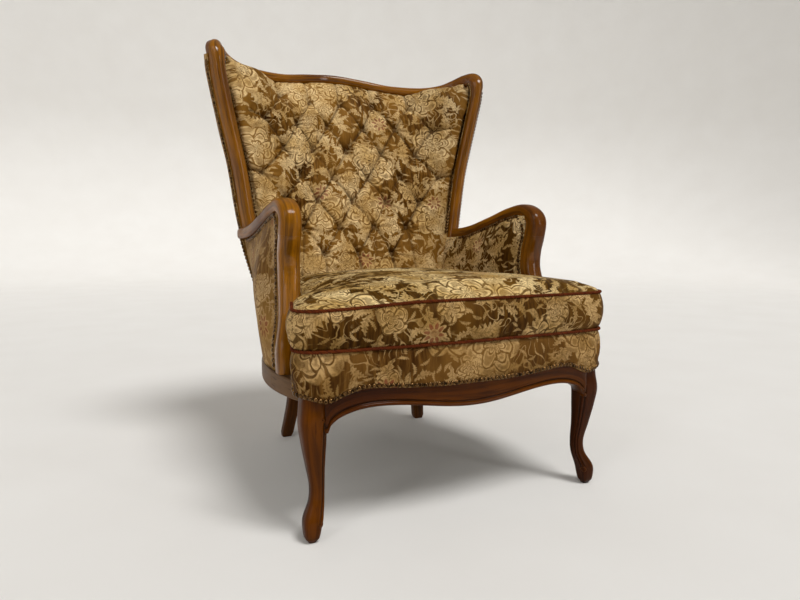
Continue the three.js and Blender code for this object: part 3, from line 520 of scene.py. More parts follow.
def super_ring(frame_at, roundness, step=0.0):
    """Ring of a bar: rounded in front, squarer behind, with a nailing step on its inner side."""
    centre, outwards, front, half, depth = frame_at
    ring = []
    for angle in np.linspace(0, 2 * np.pi, BAR_POINTS, endpoint=False):
        c, s = math.cos(angle), math.sin(angle)
        power = roundness if s > 0 else BAR_REAR_SQUARENESS
        across = half * squared(c, power)
        if step and c < 0:
            across += step * (1 - smoothstep(s, -0.05, 0.12))
        ring.append(centre + outwards * across + front * depth * squared(s, power))
    return np.array(ring)


# Shader nodes

COLOUR, NUMBER, VECTOR = "NodeSocketColor", "NodeSocketFloat", "NodeSocketVector"
CALM_SHINE = 0.04


class Flow:
    """A number on its way through a node tree; arithmetic with it adds the math nodes."""

    def __init__(self, nodes, socket):
        self.nodes = nodes
        self.socket = socket

    def __add__(self, other):
        return self.nodes.math("ADD", self, other)

    def __sub__(self, other):
        return self.nodes.math("SUBTRACT", self, other)

    def __rsub__(self, other):
        return self.nodes.math("SUBTRACT", other, self)

    def __mul__(self, other):
        return self.nodes.math("MULTIPLY", self, other)

    def __truediv__(self, other):
        return self.nodes.math("DIVIDE", self, other)

    def __abs__(self):
        return self.nodes.math("ABSOLUTE", self)


class Nodes:
    """Short way to add and join the nodes of one material or group."""

    def __init__(self, tree):
        self.tree = tree

    def add(self, kind, inputs=None, **settings):
        node = self.tree.nodes.new(kind)
        for key, value in settings.items():
            setattr(node, key, value)
        for key, value in (inputs or {}).items():
            self.feed(node.inputs[key], value)
        return node

    def feed(self, socket, value):
        if isinstance(value, Flow):
            value = value.socket
        if isinstance(value, bpy.types.NodeSocket):
            self.tree.links.new(value, socket)
        else:
            socket.default_value = value

    def math(self, operation, *values, clamp=False):
        node = self.add("ShaderNodeMath", operation=operation, use_clamp=clamp)
        for socket, value in zip(node.inputs, values):
            self.feed(socket, value)
        return Flow(self, node.outputs[0])

    def largest(self, first, *others):
        for value in others:
            first = self.math("MAXIMUM", first, value)
        return first

    def vector(self, operation, *values):
        node = self.add("ShaderNodeVectorMath", operation=operation)
        for socket, value in zip(node.inputs, values):
            self.feed(socket, value)
        return node.outputs["Vector"]

    def length(self, vector):
        node = self.add("ShaderNodeVectorMath", operation="LENGTH")
        self.feed(node.inputs[0], vector)
        return Flow(self, node.outputs["Value"])

    def split(self, vector):
        node = self.add("ShaderNodeSeparateXYZ", {"Vector": vector})
        return [Flow(self, socket) for socket in node.outputs]

    def scaled(self, vector, factors, offset=(0, 0, 0)):
        inputs = {"Vector": vector, "Scale": factors, "Location": offset}
        return self.add("ShaderNodeMapping", inputs).outputs[0]

    def noise(self, vector, scale, detail=2.0, roughness=0.5, distortion=0.0):
        node = self.add("ShaderNodeTexNoise", {
            "Vector": vector, "Scale": scale, "Detail": detail,
            "Roughness": roughness, "Distortion": distortion,
        })
        return Flow(self, node.outputs["Fac"])

    def ramp(self, value, low, high):
        """0 at low, 1 at high, smooth between."""
        node = self.add("ShaderNodeMapRange", {"Value": value, "From Min": low, "From Max": high})
        node.interpolation_type = "SMOOTHSTEP"
        return Flow(self, node.outputs["Result"])

    def mix(self, factor, a, b):
        node = self.add("ShaderNodeMix", data_type="RGBA")
        for key, value in (("Factor", factor), ("A", a), ("B", b)):
            self.feed(node.inputs[key], value)
        return node.outputs["Result"]


def rgb(red, green, blue):
    """A colour as a screen shows it, 0 to 255, to linear light."""
    def linear(value):
        value /= 255
        return value / 12.92 if value <= 0.04045 else ((value + 0.055) / 1.055) ** 2.4
    return (linear(red), linear(green), linear(blue), 1)


def new_group(name, inputs, outputs):
    group = bpy.data.node_groups.new(name, "ShaderNodeTree")
    for label, kind in inputs.items():
        group.interface.new_socket(label, in_out="INPUT", socket_type=kind)
    for label, kind in outputs.items():
        group.interface.new_socket(label, in_out="OUTPUT", socket_type=kind)
    nodes = Nodes(group)
    return group, nodes, nodes.add("NodeGroupInput").outputs, nodes.add("NodeGroupOutput").inputs


def new_material(name, roughness, **constants):
    """An empty material with a shader whose plain numbers are set on its own sockets."""
    material = bpy.data.materials.new(name)
    material.use_nodes = True
    material.node_tree.nodes.clear()
    nodes = Nodes(material.node_tree)
    shader = nodes.add("ShaderNodeBsdfPrincipled", {"Roughness": roughness})
    for key, value in constants.items():
        shader.inputs[key.replace("_", " ").title()].default_value = value
    output = nodes.add("ShaderNodeOutputMaterial")
    material.node_tree.links.new(shader.outputs[0], output.inputs["Surface"])
    return material, nodes, shader


def cloth_coordinates(nodes):
    return nodes.add("ShaderNodeUVMap", uv_map="cloth").outputs[0]


def object_coordinates(nodes):
    return nodes.add("ShaderNodeTexCoord").outputs["Object"]


# The darkening kept on a piece: painted shade in folds, carved grooves and over the right wing, and the
# front feet darker towards their bottoms.
def darkening_attribute(nodes):
    return nodes.add("ShaderNodeAttribute", attribute_name="fold").outputs["Fac"]


def bump(nodes, shader, height, distance, strength=1.0):
    node = nodes.add("ShaderNodeBump", {"Height": height, "Distance": distance, "Strength": strength})
    nodes.feed(shader.inputs["Normal"], node.outputs[0])


# Finishes

def cell_layout(nodes, coordinates, per_metre, offset, spread):
    """Scattered places on the cloth: local x, y, distance, angle and turn at each, and a random value."""
    moved = nodes.scaled(coordinates, (1, 1, 1), offset)
    inputs = {"Vector": moved, "Scale": per_metre, "Randomness": spread}
    cell = nodes.add("ShaderNodeTexVoronoi", inputs, voronoi_dimensions="2D").outputs
    local = nodes.vector("SUBTRACT", moved, cell["Position"])
    x, y, _ = nodes.split(local)
    chance = nodes.add("ShaderNodeSeparateColor", {"Color": cell["Color"]}).outputs
    turn = Flow(nodes, chance[0]) * (2 * math.pi)
    angle = nodes.math("ARCTAN2", y, x) + turn
    return x, y, nodes.length(local), angle, turn, Flow(nodes, chance[1])


def ruffled_blossom(nodes, coordinates, per_metre, offset, radius, petals):
    """A full flower of crowded uneven petals: its whole body, its pale petals and a random value."""
    _, _, distance, angle, _, chance = cell_layout(nodes, coordinates, per_metre, offset, spread=0.6)
    scallop = abs(nodes.math("COSINE", angle * (petals / 2)))
    level = distance / radius - scallop * 0.2
    body = nodes.ramp(level, 0.84, 0.77)
    shift = chance * 17.0
    round_it = angle * (petals / (2 * math.pi)) + shift
    outwards = level * 2.9 + shift
    polar = nodes.add("ShaderNodeCombineXYZ", {"X": round_it, "Y": outwards}).outputs[0]
    inputs = {"Vector": polar, "Scale": 1.0, "Randomness": 0.75}
    cell = nodes.add("ShaderNodeTexVoronoi", inputs, voronoi_dimensions="2D", feature="DISTANCE_TO_EDGE")
    rim = nodes.ramp(cell.outputs["Distance"], 0.05, 0.1)
    hollow = nodes.ramp(cell.outputs["Distance"], 0.2, 0.32)
    return body, rim * (hollow * -0.5 + 1.0) * body, chance


def leaf_spray(nodes, coordinates, per_metre, offset, length, width, bend):
    """A bent toothed leaf in each place: its body and its dark veins."""
    teeth, side_veins = 3.5, 7
    x, y, _, _, turn, _ = cell_layout(nodes, coordinates, per_metre, offset, spread=0.9)
    c, s = nodes.math("COSINE", turn), nodes.math("SINE", turn)
    along = x * c + y * s
    along_squared = along * along
    off_rib = abs(along_squared * (bend / length) + (y * c - x * s))
    taper = 1.0 - along_squared / (length * length)
    notch = nodes.math("COSINE", along * (2 * math.pi * teeth / length))
    half = taper * (notch * (0.24 * width) + 0.76 * width)
    body = nodes.ramp(off_rib - half, 0.0008, -0.0012)
    hatch = nodes.math("COSINE", (off_rib * 0.9 + along) * (2 * math.pi * side_veins / length))
    veins = nodes.largest(nodes.ramp(off_rib, 0.0016, 0.0006), nodes.ramp(hatch, 0.35, 0.95))
    return body, veins * body


def daisy(nodes, coordinates, per_metre, offset, radius, petals, wanted):
    """An open flower of separate petals in some of the places: petals, rims and heart."""
    _, _, distance, angle, _, chance = cell_layout(nodes, coordinates, per_metre, offset, spread=0.7)
    here = nodes.ramp(chance, wanted, wanted + 0.02)
    lobe = nodes.math("COSINE", angle * petals)
    share = distance / radius
    past_edge = share - (lobe * 0.2 + 0.8)
    outside = nodes.ramp(past_edge, 0.06, -0.04)
    inside = nodes.ramp(past_edge, -0.16, -0.24)
    between = nodes.ramp(lobe, -0.4, -0.75) * nodes.ramp(share, 0.25, 0.35)
    petals_only = nodes.math("SUBTRACT", inside, between, clamp=True)
    heart = nodes.ramp(share, 0.3, 0.24)
    return petals_only * nodes.ramp(share, 0.3, 0.38) * here, outside * here, heart * here


def floral_velvet_group():
    """Figured velvet: smooth pile ground, raised flat flowers, leaves, tendrils and rust daisies."""
    group, nodes, given, result = new_group("floral_velvet", {
        "Coordinates": VECTOR, "Ground": COLOUR, "Sheen Ground": COLOUR, "Figure": COLOUR,
        "Pale Figure": COLOUR, "Rust": COLOUR, "Contrast": NUMBER, "Painted Shade": NUMBER,
    }, {"Color": COLOUR, "Height": NUMBER, "Pile": NUMBER})
    cloth = given["Coordinates"]
    drift = nodes.add("ShaderNodeTexNoise", {"Vector": cloth, "Scale": 38.0, "Detail": 2.5})
    drift = nodes.vector("SUBTRACT", drift.outputs["Color"], (0.5, 0.5, 0.5))
    drift = nodes.vector("MULTIPLY", drift, (0.009, 0.009, 0))
    drawn = nodes.vector("ADD", cloth, drift)

    bloom, rims, _ = ruffled_blossom(nodes, drawn, 5.6, (0.03, 0.07, 0), radius=0.062, petals=7)
    bud, bud_rims, bud_chance = ruffled_blossom(nodes, drawn, 9.5, (0.31, 0.17, 0), radius=0.03, petals=5)
    leaf, veins = leaf_spray(nodes, drawn, 10.5, (0.11, 0.43, 0), length=0.043, width=0.018, bend=0.45)
    small_leaf, small_veins = leaf_spray(
        nodes, drawn, 21.0, (0.57, 0.21, 0), length=0.022, width=0.0085, bend=-0.5)
    sprig, _ = leaf_spray(nodes, drawn, 38.0, (0.83, 0.66, 0), length=0.012, width=0.004, bend=0.3)
    petals, daisy_rims, heart = daisy(
        nodes, drawn, 5.2, (0.47, 0.29, 0), radius=0.027, petals=8, wanted=0.46)

    swirl = nodes.noise(drawn, 17.0, 1.0, 0.4, 0.6)
    contour = abs(nodes.math("FRACT", swirl * 9.0) - 0.5)
    tendril = nodes.ramp(contour, 0.11, 0.04) * nodes.ramp(nodes.noise(drawn, 9.0), 0.47, 0.56)

    bud_here = nodes.ramp(bud_chance, 0.35, 0.4)
    flowers = nodes.largest(bloom * 0.12, rims)
    buds = nodes.largest(bud * 0.15, bud_rims) * bud_here
    leaves = nodes.largest(leaf * 0.86, small_leaf * 0.8)
    veining = nodes.largest(veins, small_veins * 0.7)
    leaves = nodes.math("SUBTRACT", leaves, veining * 0.42, clamp=True)
    growth = nodes.largest(leaves, sprig * 0.66, tendril * 0.7)
    covered = nodes.largest(bloom, bud * bud_here)
    figure = nodes.largest(flowers, buds, growth * (1.0 - covered * 0.9), daisy_rims * 0.85)

    # Worn thread by thread, so the figure is broken and grainy close to
    grain = nodes.noise(cloth, 420.0, 2.0, 0.6)
    wear_and_sheen = nodes.ramp(nodes.noise(cloth, 150.0, 3.0, 0.7), 0.38, 0.52)
    figure = figure * nodes.ramp(grain, 0.12, 0.44) * (wear_and_sheen * 0.5 + 0.5)
    shown = nodes.math("MULTIPLY", figure, given["Contrast"], clamp=True)

    # Patches and streaks of lighter ground where the pile lies differently: painted sheen.
    nap = nodes.ramp(nodes.noise(nodes.scaled(cloth, (5.5, 3.2, 1)), 1.0, 3.0, 0.55, 0.7), 0.34, 0.68)
    streak = nodes.noise(nodes.scaled(cloth, (150, 18, 1)), 1.0, 2.0, 0.6)
    ground = nodes.mix(nap, given["Ground"], given["Sheen Ground"])
    ground = nodes.mix(nodes.ramp(streak, 0.35, 0.8), ground, given["Sheen Ground"])
    faded = nodes.ramp(nodes.noise(cloth, 14.0, 2.0), 0.35, 0.68)
    pale = nodes.mix(faded, given["Figure"], given["Pale Figure"])
    colour = nodes.mix(shown, ground, pale)
    colour = nodes.mix(nodes.largest(petals, heart * 0.4) * 0.72, colour, given["Rust"])
    flecks = nodes.ramp(nodes.noise(cloth, 75.0, 3.0, 0.6), 0.66, 0.74)
    fleck_place = nodes.ramp(nodes.noise(cloth, 11.0, 1.0), 0.55, 0.65)
    colour = nodes.mix(flecks * fleck_place * 0.5, colour, given["Rust"])
    # Painted shade in the pleats and button pits and over the right wing, in patches.
    darkening = nodes.ramp(nodes.noise(cloth, 30.0), 0.15, 0.6) * given["Painted Shade"]
    colour = nodes.mix(darkening * 0.75, colour, rgb(44, 28, 16))

    nodes.feed(result["Color"], colour)
    nodes.feed(result["Height"], grain * 0.35 + shown * -0.5 + 0.6)
    nodes.feed(result["Pile"], 1.0 - shown)
    return group


VELVET = floral_velvet_group()


def velvet(name, ground, wear_and_sheen, figure, pale, contrast=1.0, offset=(0, 0, 0)):
    material, nodes, shader = new_material(name, 0.62)
    shader.inputs["Specular IOR Level"].default_value = CALM_SHINE
    out = nodes.add("ShaderNodeGroup", {
        "Coordinates": nodes.scaled(cloth_coordinates(nodes), (1, 1, 1), offset),
        "Ground": rgb(*ground), "Sheen Ground": rgb(*wear_and_sheen), "Figure": rgb(*figure),
        "Pale Figure": rgb(*pale), "Rust": rgb(112, 44, 30), "Contrast": contrast,
        # Painted shade kept on the piece.
        "Painted Shade": darkening_attribute(nodes),
    }, node_tree=VELVET).outputs
    nodes.feed(shader.inputs["Base Color"], out["Color"])
    nodes.feed(shader.inputs["Roughness"], Flow(nodes, out["Pile"]) * -0.2 + 0.72)
    bump(nodes, shader, out["Height"], 0.0011)
    return material


# One velvet in copies made lighter or darker piece by piece: painted light and shade for how the light
# falls on each piece and its nap. The buttons' copy is darker: painted shade of the pits they sit in.
seat_velvet = velvet("seat_velvet", (44, 24, 0), (98, 66, 16), (192, 156, 92), (240, 212, 154))
boxing_velvet = velvet(
    "boxing_velvet", (42, 20, 0), (94, 62, 18), (158, 124, 70), (206, 172, 118), offset=(0.4, 0.2, 0))
back_velvet = velvet(
    "back_velvet", (62, 33, 0), (130, 90, 33), (196, 160, 100), (232, 202, 148), offset=(0.7, 0.1, 0))
border_velvet = velvet(
    "border_velvet", (50, 25, 0), (106, 72, 29), (148, 114, 64), (188, 154, 103), offset=(0.15, 0.6, 0))
arm_velvet = velvet(
    "arm_velvet", (50, 25, 0), (102, 70, 22), (206, 172, 112), (244, 216, 164), offset=(0.9, 0.8, 0))
outside_velvet = velvet(
    "outside_velvet", (92, 58, 14), (134, 98, 46), (164, 130, 78), (200, 168, 120), 0.9, (0.3, 0.9, 0))
button_velvet = velvet(
    "button_velvet", (54, 32, 12), (92, 62, 30), (128, 96, 54), (150, 120, 78), 0.6, (0.2, 0.35, 0))


def wood_grain_group():
    """Stained and polished wood: long figure, pores, and the darkening given on the piece: painted shade in
    carved grooves, and the front feet darker towards their bottoms.
    """
    group, nodes, given, result = new_group("wood_grain", {
        "Coordinates": VECTOR, "Dark": COLOUR, "Middle": COLOUR, "Light": COLOUR, "Groove Shade And Foot Darkening": NUMBER,
    }, {"Color": COLOUR, "Height": NUMBER, "Wear": NUMBER})
    wood = given["Coordinates"]
    cloud = nodes.ramp(nodes.noise(nodes.scaled(wood, (9, 2.6, 4)), 1.0, 3.0, 0.55, 0.4), 0.3, 0.72)
    bands = nodes.noise(nodes.scaled(wood, (95, 4.5, 30)), 1.0, 3.0, 0.6, 0.8)
    pores = nodes.noise(nodes.scaled(wood, (900, 26, 300)), 1.0, 2.0, 0.6)
    colour = nodes.mix(cloud, given["Middle"], given["Light"])
    colour = nodes.mix(nodes.ramp(bands, 0.42, 0.72) * 0.66, colour, given["Dark"])
    colour = nodes.mix(nodes.ramp(pores, 0.56, 0.72) * 0.5, colour, given["Dark"])
    # Painted shade in carved grooves, and the front feet darker towards their bottoms.
    colour = nodes.mix(Flow(nodes, given["Groove Shade And Foot Darkening"]) * 0.8, colour, rgb(22, 9, 2))
    nodes.feed(result["Color"], colour)
    nodes.feed(result["Height"], 1.0 - nodes.ramp(pores, 0.55, 0.75))
    wear = nodes.noise(nodes.scaled(wood, (30, 14, 20)), 1.0, 4.0, 0.65)
    nodes.feed(result["Wear"], nodes.ramp(wear, 0.45, 0.75))
    return group


WOOD = wood_grain_group()


def polished_wood(name, dark, middle, light, roughness, coat, coordinates=cloth_coordinates):
    material, nodes, shader = new_material(name, roughness, coat_roughness=0.1)
    shader.inputs["Specular IOR Level"].default_value = CALM_SHINE
    out = nodes.add("ShaderNodeGroup", {
        "Coordinates": coordinates(nodes), "Dark": rgb(*dark), "Middle": rgb(*middle), "Light": rgb(*light),
        # Painted shade in grooves, and the darker foot bottoms, kept on the piece.
        "Groove Shade And Foot Darkening": darkening_attribute(nodes),
    }, node_tree=WOOD).outputs
    wear = Flow(nodes, out["Wear"])
    nodes.feed(shader.inputs["Base Color"], out["Color"])
    nodes.feed(shader.inputs["Roughness"], wear * 0.16 + roughness)
    nodes.feed(shader.inputs["Coat Weight"], wear * (-0.6 * coat) + coat)
    bump(nodes, shader, out["Height"], 0.0003, 0.35)
    return material


show_wood = polished_wood("show_wood", (26, 8, 0), (92, 48, 0), (148, 93, 7), 0.3, 0.55)
arm_wood = polished_wood("arm_wood", (26, 8, 0), (92, 48, 0), (148, 93, 7), 0.38, 0.26)
# leg_wood, for the legs and apron, is darker than the show wood: painted shade for the weaker light that
# reaches them low under the seat.
leg_wood = polished_wood("leg_wood", (16, 4, 0), (58, 23, 0), (94, 48, 0), 0.28, 0.12)
rail_wood = polished_wood("rail_wood", (54, 34, 18), (92, 66, 42), (120, 92, 64), 0.5, 0.1)
rear_wood = polished_wood("rear_wood", (34, 14, 0), (78, 42, 8), (108, 64, 18), 0.36, 0.2)
bare_wood = polished_wood(
    "bare_wood", (120, 84, 48), (164, 124, 78), (186, 148, 100), 0.7, 0.0, object_coordinates)


def twisted_cord_finish():
    material, nodes, shader = new_material("rust_cord", 0.7)
    shader.inputs["Specular IOR Level"].default_value = 0.1
    cloth = cloth_coordinates(nodes)
    threads = nodes.noise(nodes.scaled(cloth, (900, 160, 1)), 1.0, 2.0, 0.6)
    worn = nodes.ramp(nodes.noise(cloth, 22.0, 3.0), 0.4, 0.7)
    colour = nodes.mix(worn, rgb(78, 29, 3), rgb(110, 50, 12))
    colour = nodes.mix(nodes.ramp(threads, 0.5, 0.75) * 0.7, colour, rgb(36, 10, 0))
    nodes.feed(shader.inputs["Base Color"], colour)
    bump(nodes, shader, threads, 0.0006)
    return material


def nail_finish():
    material, nodes, shader = new_material("antique_brass", 0.34, metallic=1.0)
    tarnish = nodes.ramp(nodes.noise(object_coordinates(nodes), 160.0, 3.0, 0.6), 0.4, 0.66)
    nodes.feed(shader.inputs["Base Color"], nodes.mix(tarnish, rgb(112, 82, 48), rgb(36, 24, 13)))
    nodes.feed(shader.inputs["Roughness"], tarnish * 0.25 + 0.2)
    return material


def steel_finish():
    material, nodes, shader = new_material("spring_steel", 0.4, metallic=1.0)
    rust = nodes.ramp(nodes.noise(object_coordinates(nodes), 90.0, 4.0, 0.65), 0.5, 0.7)
    nodes.feed(shader.inputs["Base Color"], nodes.mix(rust, rgb(128, 130, 134), rgb(96, 66, 44)))
    nodes.feed(shader.inputs["Roughness"], rust * 0.4 + 0.34)
    return material


def plain_weave_finish(name, thread, gap, threads_per_metre, depth):
    """An open plain weave of one yarn, over and under, on the piece's object coordinates."""
    material, nodes, shader = new_material(name, 0.85, sheen_weight=0.1)
    here = object_coordinates(nodes)
    x, y, z = nodes.split(nodes.vector("ADD", here, (3.1, 2.3, 0.7)))
    rate = threads_per_metre * math.pi
    over = nodes.math("SINE", x * rate) * nodes.math("SINE", (y + z) * rate)
    slub = nodes.noise(here, 60.0, 3.0, 0.6)
    yarn = nodes.mix(nodes.ramp(slub, 0.35, 0.68), rgb(*thread), rgb(*gap))
    shade = nodes.ramp(abs(over), 0.3, 0.02)
    nodes.feed(shader.inputs["Base Color"], nodes.mix(shade * 0.7, yarn, rgb(*gap)))
    bump(nodes, shader, over, depth)
    return material


rust_cord = twisted_cord_finish()
antique_brass = nail_finish()
spring_steel = steel_finish()
jute_webbing = plain_weave_finish("jute_webbing", (150, 122, 82), (98, 74, 46), 330, 0.0007)
spring_canvas = plain_weave_finish("spring_canvas", (160, 132, 90), (84, 62, 36), 420, 0.0006)
black_cotton = plain_weave_finish("black_cotton", (40, 39, 38), (20, 20, 20), 900, 0.0003)


# Show wood of the back

WING_LAST = (EAR_STEP + len(EAR_POINTS) - 1) / (len(LOOP) - 1)
JOINT_GAP = 0.0003
WING_ROUNDNESS = 2.6
ARM_ROUNDNESS = 2.8


def loop_bar(name, start, end, count, turn):
    stations = np.linspace(start, end, count)
    rings = [super_ring(loop_frame(t), WING_ROUNDNESS, NAILING_STEP) for t in stations]
    piece = bar(name, rings, show_wood, turn)
    return piece


right_wing = loop_bar("wing_right", 0, WING_LAST, 120, 0.0)
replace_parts(right_wing, "wing_post_right")
left_wing = loop_bar("wing_left", 1 - WING_LAST, 1, 120, 0.6)
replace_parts(left_wing, "wing_post_left")
crest = loop_bar("crest", WING_LAST + JOINT_GAP, 1 - WING_LAST - JOINT_GAP, 110, 1.3)
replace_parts(crest, "crest_rail")


# Arms

ARM_TOP_LENGTH = lengths_along([curve_point(ARM_CURVE, t) for t in np.linspace(0, ARM_JOINT, 90)])[-1]


def arm_bar(name, side, start, end, count):
    rings = [super_ring(arm_frame(t), ARM_ROUNDNESS) for t in np.linspace(start, end, count)]
    if side < 0:
        rings = [mirrored(ring) for ring in rings]
    grain_start = ARM_TOP_LENGTH * MM if start else 0.0
    piece = bar(name, rings, show_wood if start else arm_wood, 2.0 + side, grain_start=grain_start)
    return piece


SIDES = (("left", -1), ("right", 1))
for word, side in SIDES:
    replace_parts(arm_bar(f"arm_top_{word}", side, 0, ARM_JOINT, 90), f"arm_rail_{word}")
    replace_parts(arm_bar(f"arm_front_{word}", side, ARM_JOINT + JOINT_GAP, 1, 70), f"arm_post_{word}")


# Legs

CABRIOLE = np.array([
    (0, 10.5, 0), (0, 14.5, 15), (-3, 17, 40), (-17, 13, 70), (-19.5, 12.5, 95),
    (-14, 16, 135), (-9, 21, 180), (-7, 24, 215), (-12, 24.5, 245), (-16, 24.5, RAIL_TOP),
])
DIAGONAL = math.sqrt(0.5)
LEG_STATIONS = np.linspace(0, 1, 100)
LEG_SQUARENESS = 3.4
REAR_LEG_SQUARENESS = 5
FOOT_ROUNDING = 3.2
REAR_FOOT_ROUNDING = 3
FOOT_ROUNDED_TO = 9
FOOT_DARKENED_TO = 16
LEG_BEAD_RISE = 1.9
LEG_BEAD_SPREAD = 0.13
LEG_QUIRK_DEPTH = 2.0
LEG_QUIRK_ANGLE = 0.28
LEG_QUIRK_SPREAD = 0.085
SCROLL_REACH = 1.15
SCROLL_SINK = 2.2
SCROLL_TURNS = 1.4
SCROLL_EYE = 0.22
STILE_TRIM_FROM = 830
STILE_TRIM_TO = 940
STILE_TRIM = 5
STILE_SET_BACK = 14
STILE_TOP = float(crest_z(REAR_LEG_X)) - CREST_HALF_HEIGHT - 0.3
REAR_LEG_PATH = np.array([
    (*REAR_FOOT, 0),
    (REAR_LEG_X, lerp(REAR_LEG_Y, REAR_FOOT[1], 0.45), 114),
    (REAR_LEG_X, REAR_LEG_Y, RAIL_TOP - RAIL_HEIGHT),
    *[(REAR_LEG_X, stile_y(z), z) for z in np.linspace(RAIL_TOP, STILE_TOP, 6)],
])


def cabriole_place(t, side):
    """Middle of a front leg's section and its half width."""
    offset, half, z = curve_point(CABRIOLE, t)
    out = offset * DIAGONAL
    return np.array([side * (FRONT_LEG_X + out), FRONT_FOOT_Y - out, z]), half


def level_ring(middle, reach, angles, squareness):
    """Level section of a leg, a rounded square."""
    xs = middle[0] + reach * squared(np.cos(angles), squareness)
    ys = middle[1] + reach * squared(np.sin(angles), squareness)
    return np.stack([xs, ys, np.full(len(angles), middle[2])], axis=1)


def front_leg_ring(t, side):
    """Level section with a carved bead down its inner front corner, the painted shade beside the bead, and
    the foot darker towards its bottom.
    """
    middle, half = cabriole_place(t, side)
    z = middle[2]
    half -= FOOT_ROUNDING * (1 - smoothstep(z, 0, FOOT_ROUNDED_TO))
    bead_fade = smoothstep(z, 22, 45) * (1 - smoothstep(z, 215, 236))
    corner = math.radians(225 if side > 0 else 315)
    angles = np.linspace(0, 2 * np.pi, 96, endpoint=False)
    away = (angles - corner + np.pi) % (2 * np.pi) - np.pi
    bead = np.exp(-(away / LEG_BEAD_SPREAD) ** 2) * bead_fade
    quirk = np.exp(-((np.abs(away) - LEG_QUIRK_ANGLE) / LEG_QUIRK_SPREAD) ** 2) * bead_fade
    reach = half + LEG_BEAD_RISE * bead - LEG_QUIRK_DEPTH * quirk
    # Painted shade in the quirk beside the bead, and the foot darker towards its bottom.
    darkening = 0.8 * quirk + 0.6 * (1 - smoothstep(z, 0, FOOT_DARKENED_TO))
    return level_ring(middle, reach, angles, LEG_SQUARENESS), darkening


def rear_leg_ring(t, side):
    x, y, z = curve_point(REAR_LEG_PATH, t)
    trimmed = smoothstep(z, STILE_TRIM_FROM, STILE_TRIM_TO)
    half = lerp(REAR_FOOT_HALF, REAR_LEG_HALF, min(1, z / (RAIL_TOP - RAIL_HEIGHT)))
    half -= REAR_FOOT_ROUNDING * (1 - smoothstep(z, 0, FOOT_ROUNDED_TO)) + STILE_TRIM * trimmed
    angles = np.linspace(0, 2 * np.pi, 32, endpoint=False)
    return level_ring((side * x, y + STILE_SET_BACK * trimmed, z), half, angles, REAR_LEG_SQUARENESS)


def leg_scroll(name, side, z, radius):
    """A small volute carved on the leg's inner front corner, where its bead begins or ends."""
    t = np.interp(z, [curve_point(CABRIOLE, a)[2] for a in LEG_STATIONS], LEG_STATIONS)
    middle, half = cabriole_place(t, side)
    middle[2] = z
    corner = np.array([-side, -1, 0]) * DIAGONAL
    middle += corner * (SCROLL_REACH * half - SCROLL_SINK)
    across = np.cross(corner, UP)
    rings = []
    for share in np.linspace(0, 1, 64):
        angle = side * (2 * np.pi * SCROLL_TURNS * share)
        out = across * math.cos(angle) + UP * math.sin(angle)
        core = middle + out * radius * lerp(1, SCROLL_EYE, share) + corner * 1.6 * share
        rings.append(round_ring(core, out, corner, lerp(2.4, 1.5, share), 10))
    piece = bar(name, rings, leg_wood, 13.0 + side)


for word, side in SIDES:
    leg_scroll(f"knee_scroll_{word}", side, z=226, radius=8)
    leg_scroll(f"toe_scroll_{word}", side, z=34, radius=5.5)
    rings, darkening = zip(*[front_leg_ring(t, side) for t in LEG_STATIONS])
    leg = bar(f"cabriole_{word}", rings, leg_wood, 5.0 + side, np.array(darkening))
    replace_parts(leg, f"front_leg_{word}")
    rings = [rear_leg_ring(t, side) for t in np.linspace(0, 1, 80)]
    leg = bar(f"sabre_{word}", rings, rear_wood, 7.0 + side)
    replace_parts(leg, f"rear_leg_{word}")


# Rails

APRON_END = FRONT_LEG_X - 22
CARVED_BAND = 13
APRON_BEAD_SINK = 1.2
APRON_QUIRK_DEPTH = 2.4
APRON_SWELL = 1.2
RAIL_SQUARENESS = 9


def apron_bottom(x):
    out = np.abs(x)
    rise = APRON_ARCH - APRON_MIDDLE
    middle = APRON_MIDDLE + rise * (1 - np.cos(np.pi * out / APRON_ARCH_X)) / 2
    along = np.clip((out - APRON_ARCH_X) / BRACKET_LENGTH, 0, 1)
    bracket = APRON_ARCH - BRACKET_DROP * (1 - np.sqrt(1 - along ** 2))
    return np.where(out < APRON_ARCH_X, middle, bracket)


def apron():
    """Front rail, with a bead and quirk carved along its serpentine lower edge."""
    x = np.linspace(-APRON_END, APRON_END, 150)
    bead = 2 * BEAD_RADIUS
    from_edge = [0, 0.4, 1.2, 2.6, 3.8, 5, 6.4, 7.2, bead, 8.4, 9.2, 10.2, 11.4, CARVED_BAND]
    bottom = apron_bottom(x)
    plain = RAIL_TOP - bottom - CARVED_BAND
    rows = [bottom + d for d in from_edge]
    rows += [bottom + CARVED_BAND + plain * share for share in np.linspace(0.03, 1, 12)]
    z = np.vstack(rows)
    d = np.clip(z - bottom, 0, None)
    round_out = BEAD_RADIUS * np.sqrt(np.clip(1 - ((d - BEAD_RADIUS) / BEAD_RADIUS) ** 2, 0, 1))
    groove = np.exp(-((d - bead - 1.6) / 1.5) ** 2)
    proud = np.where(d <= bead, round_out - APRON_BEAD_SINK, -APRON_QUIRK_DEPTH * groove)
    proud += APRON_SWELL * smoothstep(d, 12, 30) * (1 - smoothstep(d, 30, 48))
    across = np.broadcast_to(x, z.shape)
    face = np.broadcast_to(seat_front_y(x) + FRONT_RAIL_INSET, z.shape)
    front = np.stack([across, face - proud, z], axis=-1)
    rear = np.stack([across, face + RAIL_THICKNESS, z], axis=-1)
    bm = padded_body(front, rear, cloth_uv(front, True))
    # Painted shade in the carved quirk.
    mark_folds(bm, 0.9 * groove)
    piece = finish_mesh("apron", bm, leg_wood)
    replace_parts(piece, "front_rail")


